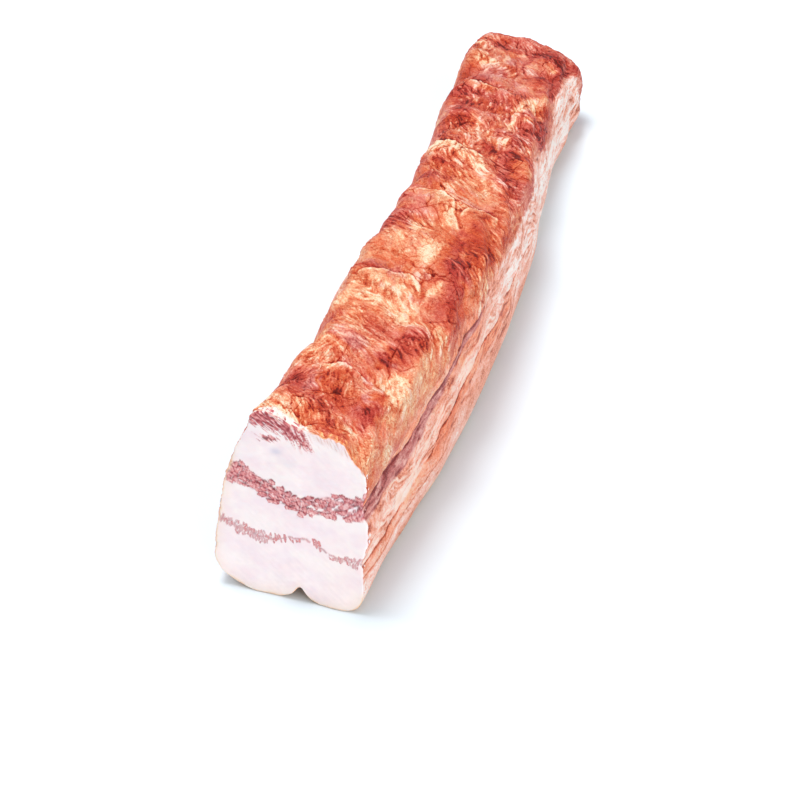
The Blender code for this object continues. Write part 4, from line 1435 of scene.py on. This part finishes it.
def finish_piece(piece, material):
    """Gives a piece its material and its place on the frame, and hides the slab's solid."""
    piece.data.materials.append(material)
    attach(piece, "root")
    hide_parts(NODE)


def make_floor(shade):
    """A wide flat floor under the slab."""
    corners = [(x * FLOOR_HALF, y * FLOOR_HALF, 0.0) for x, y in ((-1, -1), (1, -1), (1, 1), (-1, 1))]
    mesh = bpy.data.meshes.new("floor")
    mesh.from_pydata(corners, [], [(0, 1, 2, 3)])
    floor = bpy.data.objects.new("floor", mesh)
    bpy.context.scene.collection.objects.link(floor)
    material, _, shader = new_material("white_floor")
    shader.inputs["Base Color"].default_value = shade
    shader.inputs["Roughness"].default_value = FLOOR_ROUGHNESS
    shader.inputs["Specular IOR Level"].default_value = 0.0
    mesh.materials.append(material)


def area_light(name, place_at, size, power):
    """A square area light that faces the slab."""
    light = bpy.data.lights.new(name, "AREA")
    light.shape = "SQUARE"
    light.size = size
    light.energy = power
    lamp = bpy.data.objects.new(name, light)
    lamp.location = place_at
    aim = Vector(LIGHTS_AIM) - lamp.location
    lamp.rotation_euler = aim.to_track_quat("-Z", "Y").to_euler()
    bpy.context.scene.collection.objects.link(lamp)


def make_camera():
    """The camera where the photograph's outlines put it."""
    azimuth, elevation = math.radians(CAMERA_AZIMUTH), math.radians(CAMERA_ELEVATION)
    level = math.cos(elevation)
    back = Vector((math.sin(azimuth) * level, -math.cos(azimuth) * level, math.sin(elevation)))
    lens = bpy.data.cameras.new("camera")
    lens.lens = CAMERA_LENS
    lens.sensor_width = CAMERA_SENSOR
    lens.clip_start, lens.clip_end = CAMERA_CLIP
    camera = bpy.data.objects.new("camera", lens)
    camera.location = Vector(CAMERA_TARGET) + back * CAMERA_DISTANCE
    camera.rotation_euler = (-back).to_track_quat("-Z", "Y").to_euler()
    bpy.context.scene.collection.objects.link(camera)
    bpy.context.scene.camera = camera


def make_stage(settings):
    """A white floor, an even pale surround, a key light high on the left, a weak fill and the camera."""
    scene = bpy.context.scene
    scene.view_settings.view_transform = "Standard"
    world = bpy.data.worlds.new("pale_surround")
    world.use_nodes = True
    background = world.node_tree.nodes["Background"]
    background.inputs["Color"].default_value = (1.0, 1.0, 1.0, 1.0)
    background.inputs["Strength"].default_value = settings.surround
    scene.world = world
    make_floor(settings.floor)
    area_light("key", KEY_PLACE, settings.key_size, settings.key)
    area_light("fill", FILL_PLACE, settings.fill_size, settings.fill)
    make_camera()


class BaconSkin(bpy.types.PropertyGroup):
    """Colours of the smoked skin, each from dark to light."""

    speckle: amount("Speckle", "Strength of the speckle", 0.5)
    lines: amount("Lines", "How dark the thin lines are", 0.24)
    pits: amount("Pits", "Strength of the finest pits' tone", 0.6)
    crust_black: colour("Crust cracks", "Crust in its cracks", 106, 16, 6)
    crust_dark: colour("Crust dark", "Darkest browned crust", 174, 44, 18)
    crust_brown: colour("Crust brown", "Browned crust", 203, 82, 44)
    crust_orange: colour("Crust orange", "Crust's main colour", 219, 112, 72)
    crust_gold: colour("Crust gold", "Lighter crust", 230, 148, 110)
    crust_cream: colour("Crust cream", "Membranes on the crust", 240, 188, 146)
    crust_pale: colour("Crust pale", "Palest spots of the crust", 249, 226, 196)
    rose_black: colour("Rose cracks", "Rosy crust in its cracks", 104, 16, 10)
    rose_dark: colour("Rose dark", "Dark rosy crust", 172, 44, 32)
    rose_middle: colour("Rose", "Rosy crust", 202, 88, 72)
    rose_light: colour("Rose light", "Light rosy crust", 224, 134, 114)
    rose_pale: colour("Rose pale", "Palest rosy crust", 243, 206, 192)
    mauve_dark: colour("Mauve dark", "Dark lean on the skin", 136, 46, 44)
    mauve_middle: colour("Mauve", "Lean on the skin", 200, 112, 106)
    mauve_light: colour("Mauve light", "Light lean on the skin", 240, 184, 172)
    fat_dark: colour("Fat cracks", "Fat in its creases", 136, 50, 30)
    fat_brown: colour("Fat brown", "Smoked fat", 206, 106, 76)
    fat_peach: colour("Fat peach", "Fat's darker streaks", 242, 163, 134)
    fat_pink: colour("Fat pink", "Fat's main colour", 251, 196, 180)
    fat_white: colour("Fat white", "Fat's white streaks", 255, 238, 230)
    rind_dark: colour("Rind dark", "Dark rind", 158, 92, 54)
    rind_middle: colour("Rind", "Smoked rind", 220, 158, 108)
    rind_light: colour("Rind light", "Light rind", 244, 202, 156)
    stain: colour("Stain", "Smoke's stain on fat, multiplied in", 250, 190, 146)


class BaconCut(bpy.types.PropertyGroup):
    """Colours of the fresh cut."""

    fat: colour("Fat", "White fat", 254, 237, 235)
    fat_haze: colour("Fat haze", "Cooler fat", 248, 227, 230)
    fat_peach: colour("Fat peach", "Fat near the smoked edge", 247, 216, 198)
    fringe: colour("Fringe", "Fibres above the upper lean", 214, 160, 140)
    bruise: colour("Bruise", "Grey spot in the fat", 204, 200, 216)
    lean_black: colour("Lean black", "Darkest lean", 120, 34, 42)
    lean_dark: colour("Lean dark", "Dark lean", 159, 58, 66)
    lean_middle: colour("Lean", "Lean's main colour", 199, 102, 107)
    lean_light: colour("Lean light", "Light lean", 227, 150, 148)
    lean_pale: colour("Lean pale", "Lean's pale lines", 247, 208, 204)
    smoked_pale: colour("Smoked pale", "Faintly smoked edge", 253, 238, 226)
    smoked_middle: colour("Smoked", "Smoked edge", 244, 200, 160)
    smoked_dark: colour("Smoked dark", "Darkest smoked edge", 222, 132, 80)
    crust_dark: colour("Crust dark", "Dark crust at the cut's edge", 168, 66, 44)
    crust_orange: colour("Crust orange", "Crust at the cut's edge", 226, 130, 80)
    crust_gold: colour("Crust gold", "Light crust at the cut's edge", 248, 190, 136)


class BaconStage(bpy.types.PropertyGroup):
    """Light and floor round the slab."""

    surround: amount("Surround", "Strength of the pale surround", 0.6)
    key: amount("Key", "Key light's power in watts", 15.2)
    key_size: amount("Key size", "Key light's side", 0.55, 0.01, "LENGTH")
    fill: amount("Fill", "Fill light's power in watts", 8.9)
    fill_size: amount("Fill size", "Fill light's side", 1.2, 0.01, "LENGTH")
    floor: colour("Floor", "Colour of the floor", 230, 242, 250)


class BACON_OT_skin(bpy.types.Operator):
    """Builds the smoked skin of the slab, in lengths"""

    bl_idname = "bacon.skin"
    bl_label = "Smoked skin"

    def execute(self, context):
        material = smoked_skin(context.scene.bacon_skin)
        for index in range(len(SKIN_ENDS) - 1):
            finish_piece(make_skin_part(index), material)
        return {"FINISHED"}


class BACON_OT_cut_face(bpy.types.Operator):
    """Builds the fresh cut"""

    bl_idname = "bacon.cut_face"
    bl_label = "Fresh cut"

    def execute(self, context):
        finish_piece(make_cut_face(), fresh_cut(context.scene.bacon_cut))
        return {"FINISHED"}


class BACON_OT_stage(bpy.types.Operator):
    """Sets up the floor, the light and the camera"""

    bl_idname = "bacon.stage"
    bl_label = "Stage"

    def execute(self, context):
        make_stage(context.scene.bacon_stage)
        return {"FINISHED"}


OPERATORS = (BACON_OT_skin, BACON_OT_cut_face, BACON_OT_stage)
SETTINGS = {"bacon_skin": BaconSkin, "bacon_cut": BaconCut, "bacon_stage": BaconStage}


class BACON_PT_panel(bpy.types.Panel):
    """Lists the slab's builders and settings"""

    bl_label = "Bacon slab"
    bl_idname = "BACON_PT_panel"
    bl_space_type = "VIEW_3D"
    bl_region_type = "UI"
    bl_category = "Bacon"

    def draw(self, context):
        column = self.layout.column()
        for operator in OPERATORS:
            column.operator(operator.bl_idname)
        for group, settings in SETTINGS.items():
            for name in settings.__annotations__:
                column.prop(getattr(context.scene, group), name)


CLASSES = (*SETTINGS.values(), *OPERATORS, BACON_PT_panel)


def register():
    """Adds the classes and the scene's settings."""
    for cls in CLASSES:
        bpy.utils.register_class(cls)
    for group, settings in SETTINGS.items():
        setattr(bpy.types.Scene, group, bpy.props.PointerProperty(type=settings))


def unregister():
    """Takes them away again."""
    for group in SETTINGS:
        delattr(bpy.types.Scene, group)
    for cls in reversed(CLASSES):
        bpy.utils.unregister_class(cls)


def main():
    """Builds the slab's looks and its stage."""
    register()
    bpy.ops.bacon.skin()
    bpy.ops.bacon.cut_face()
    bpy.ops.bacon.stage()


if __name__ == "__main__":
    main()
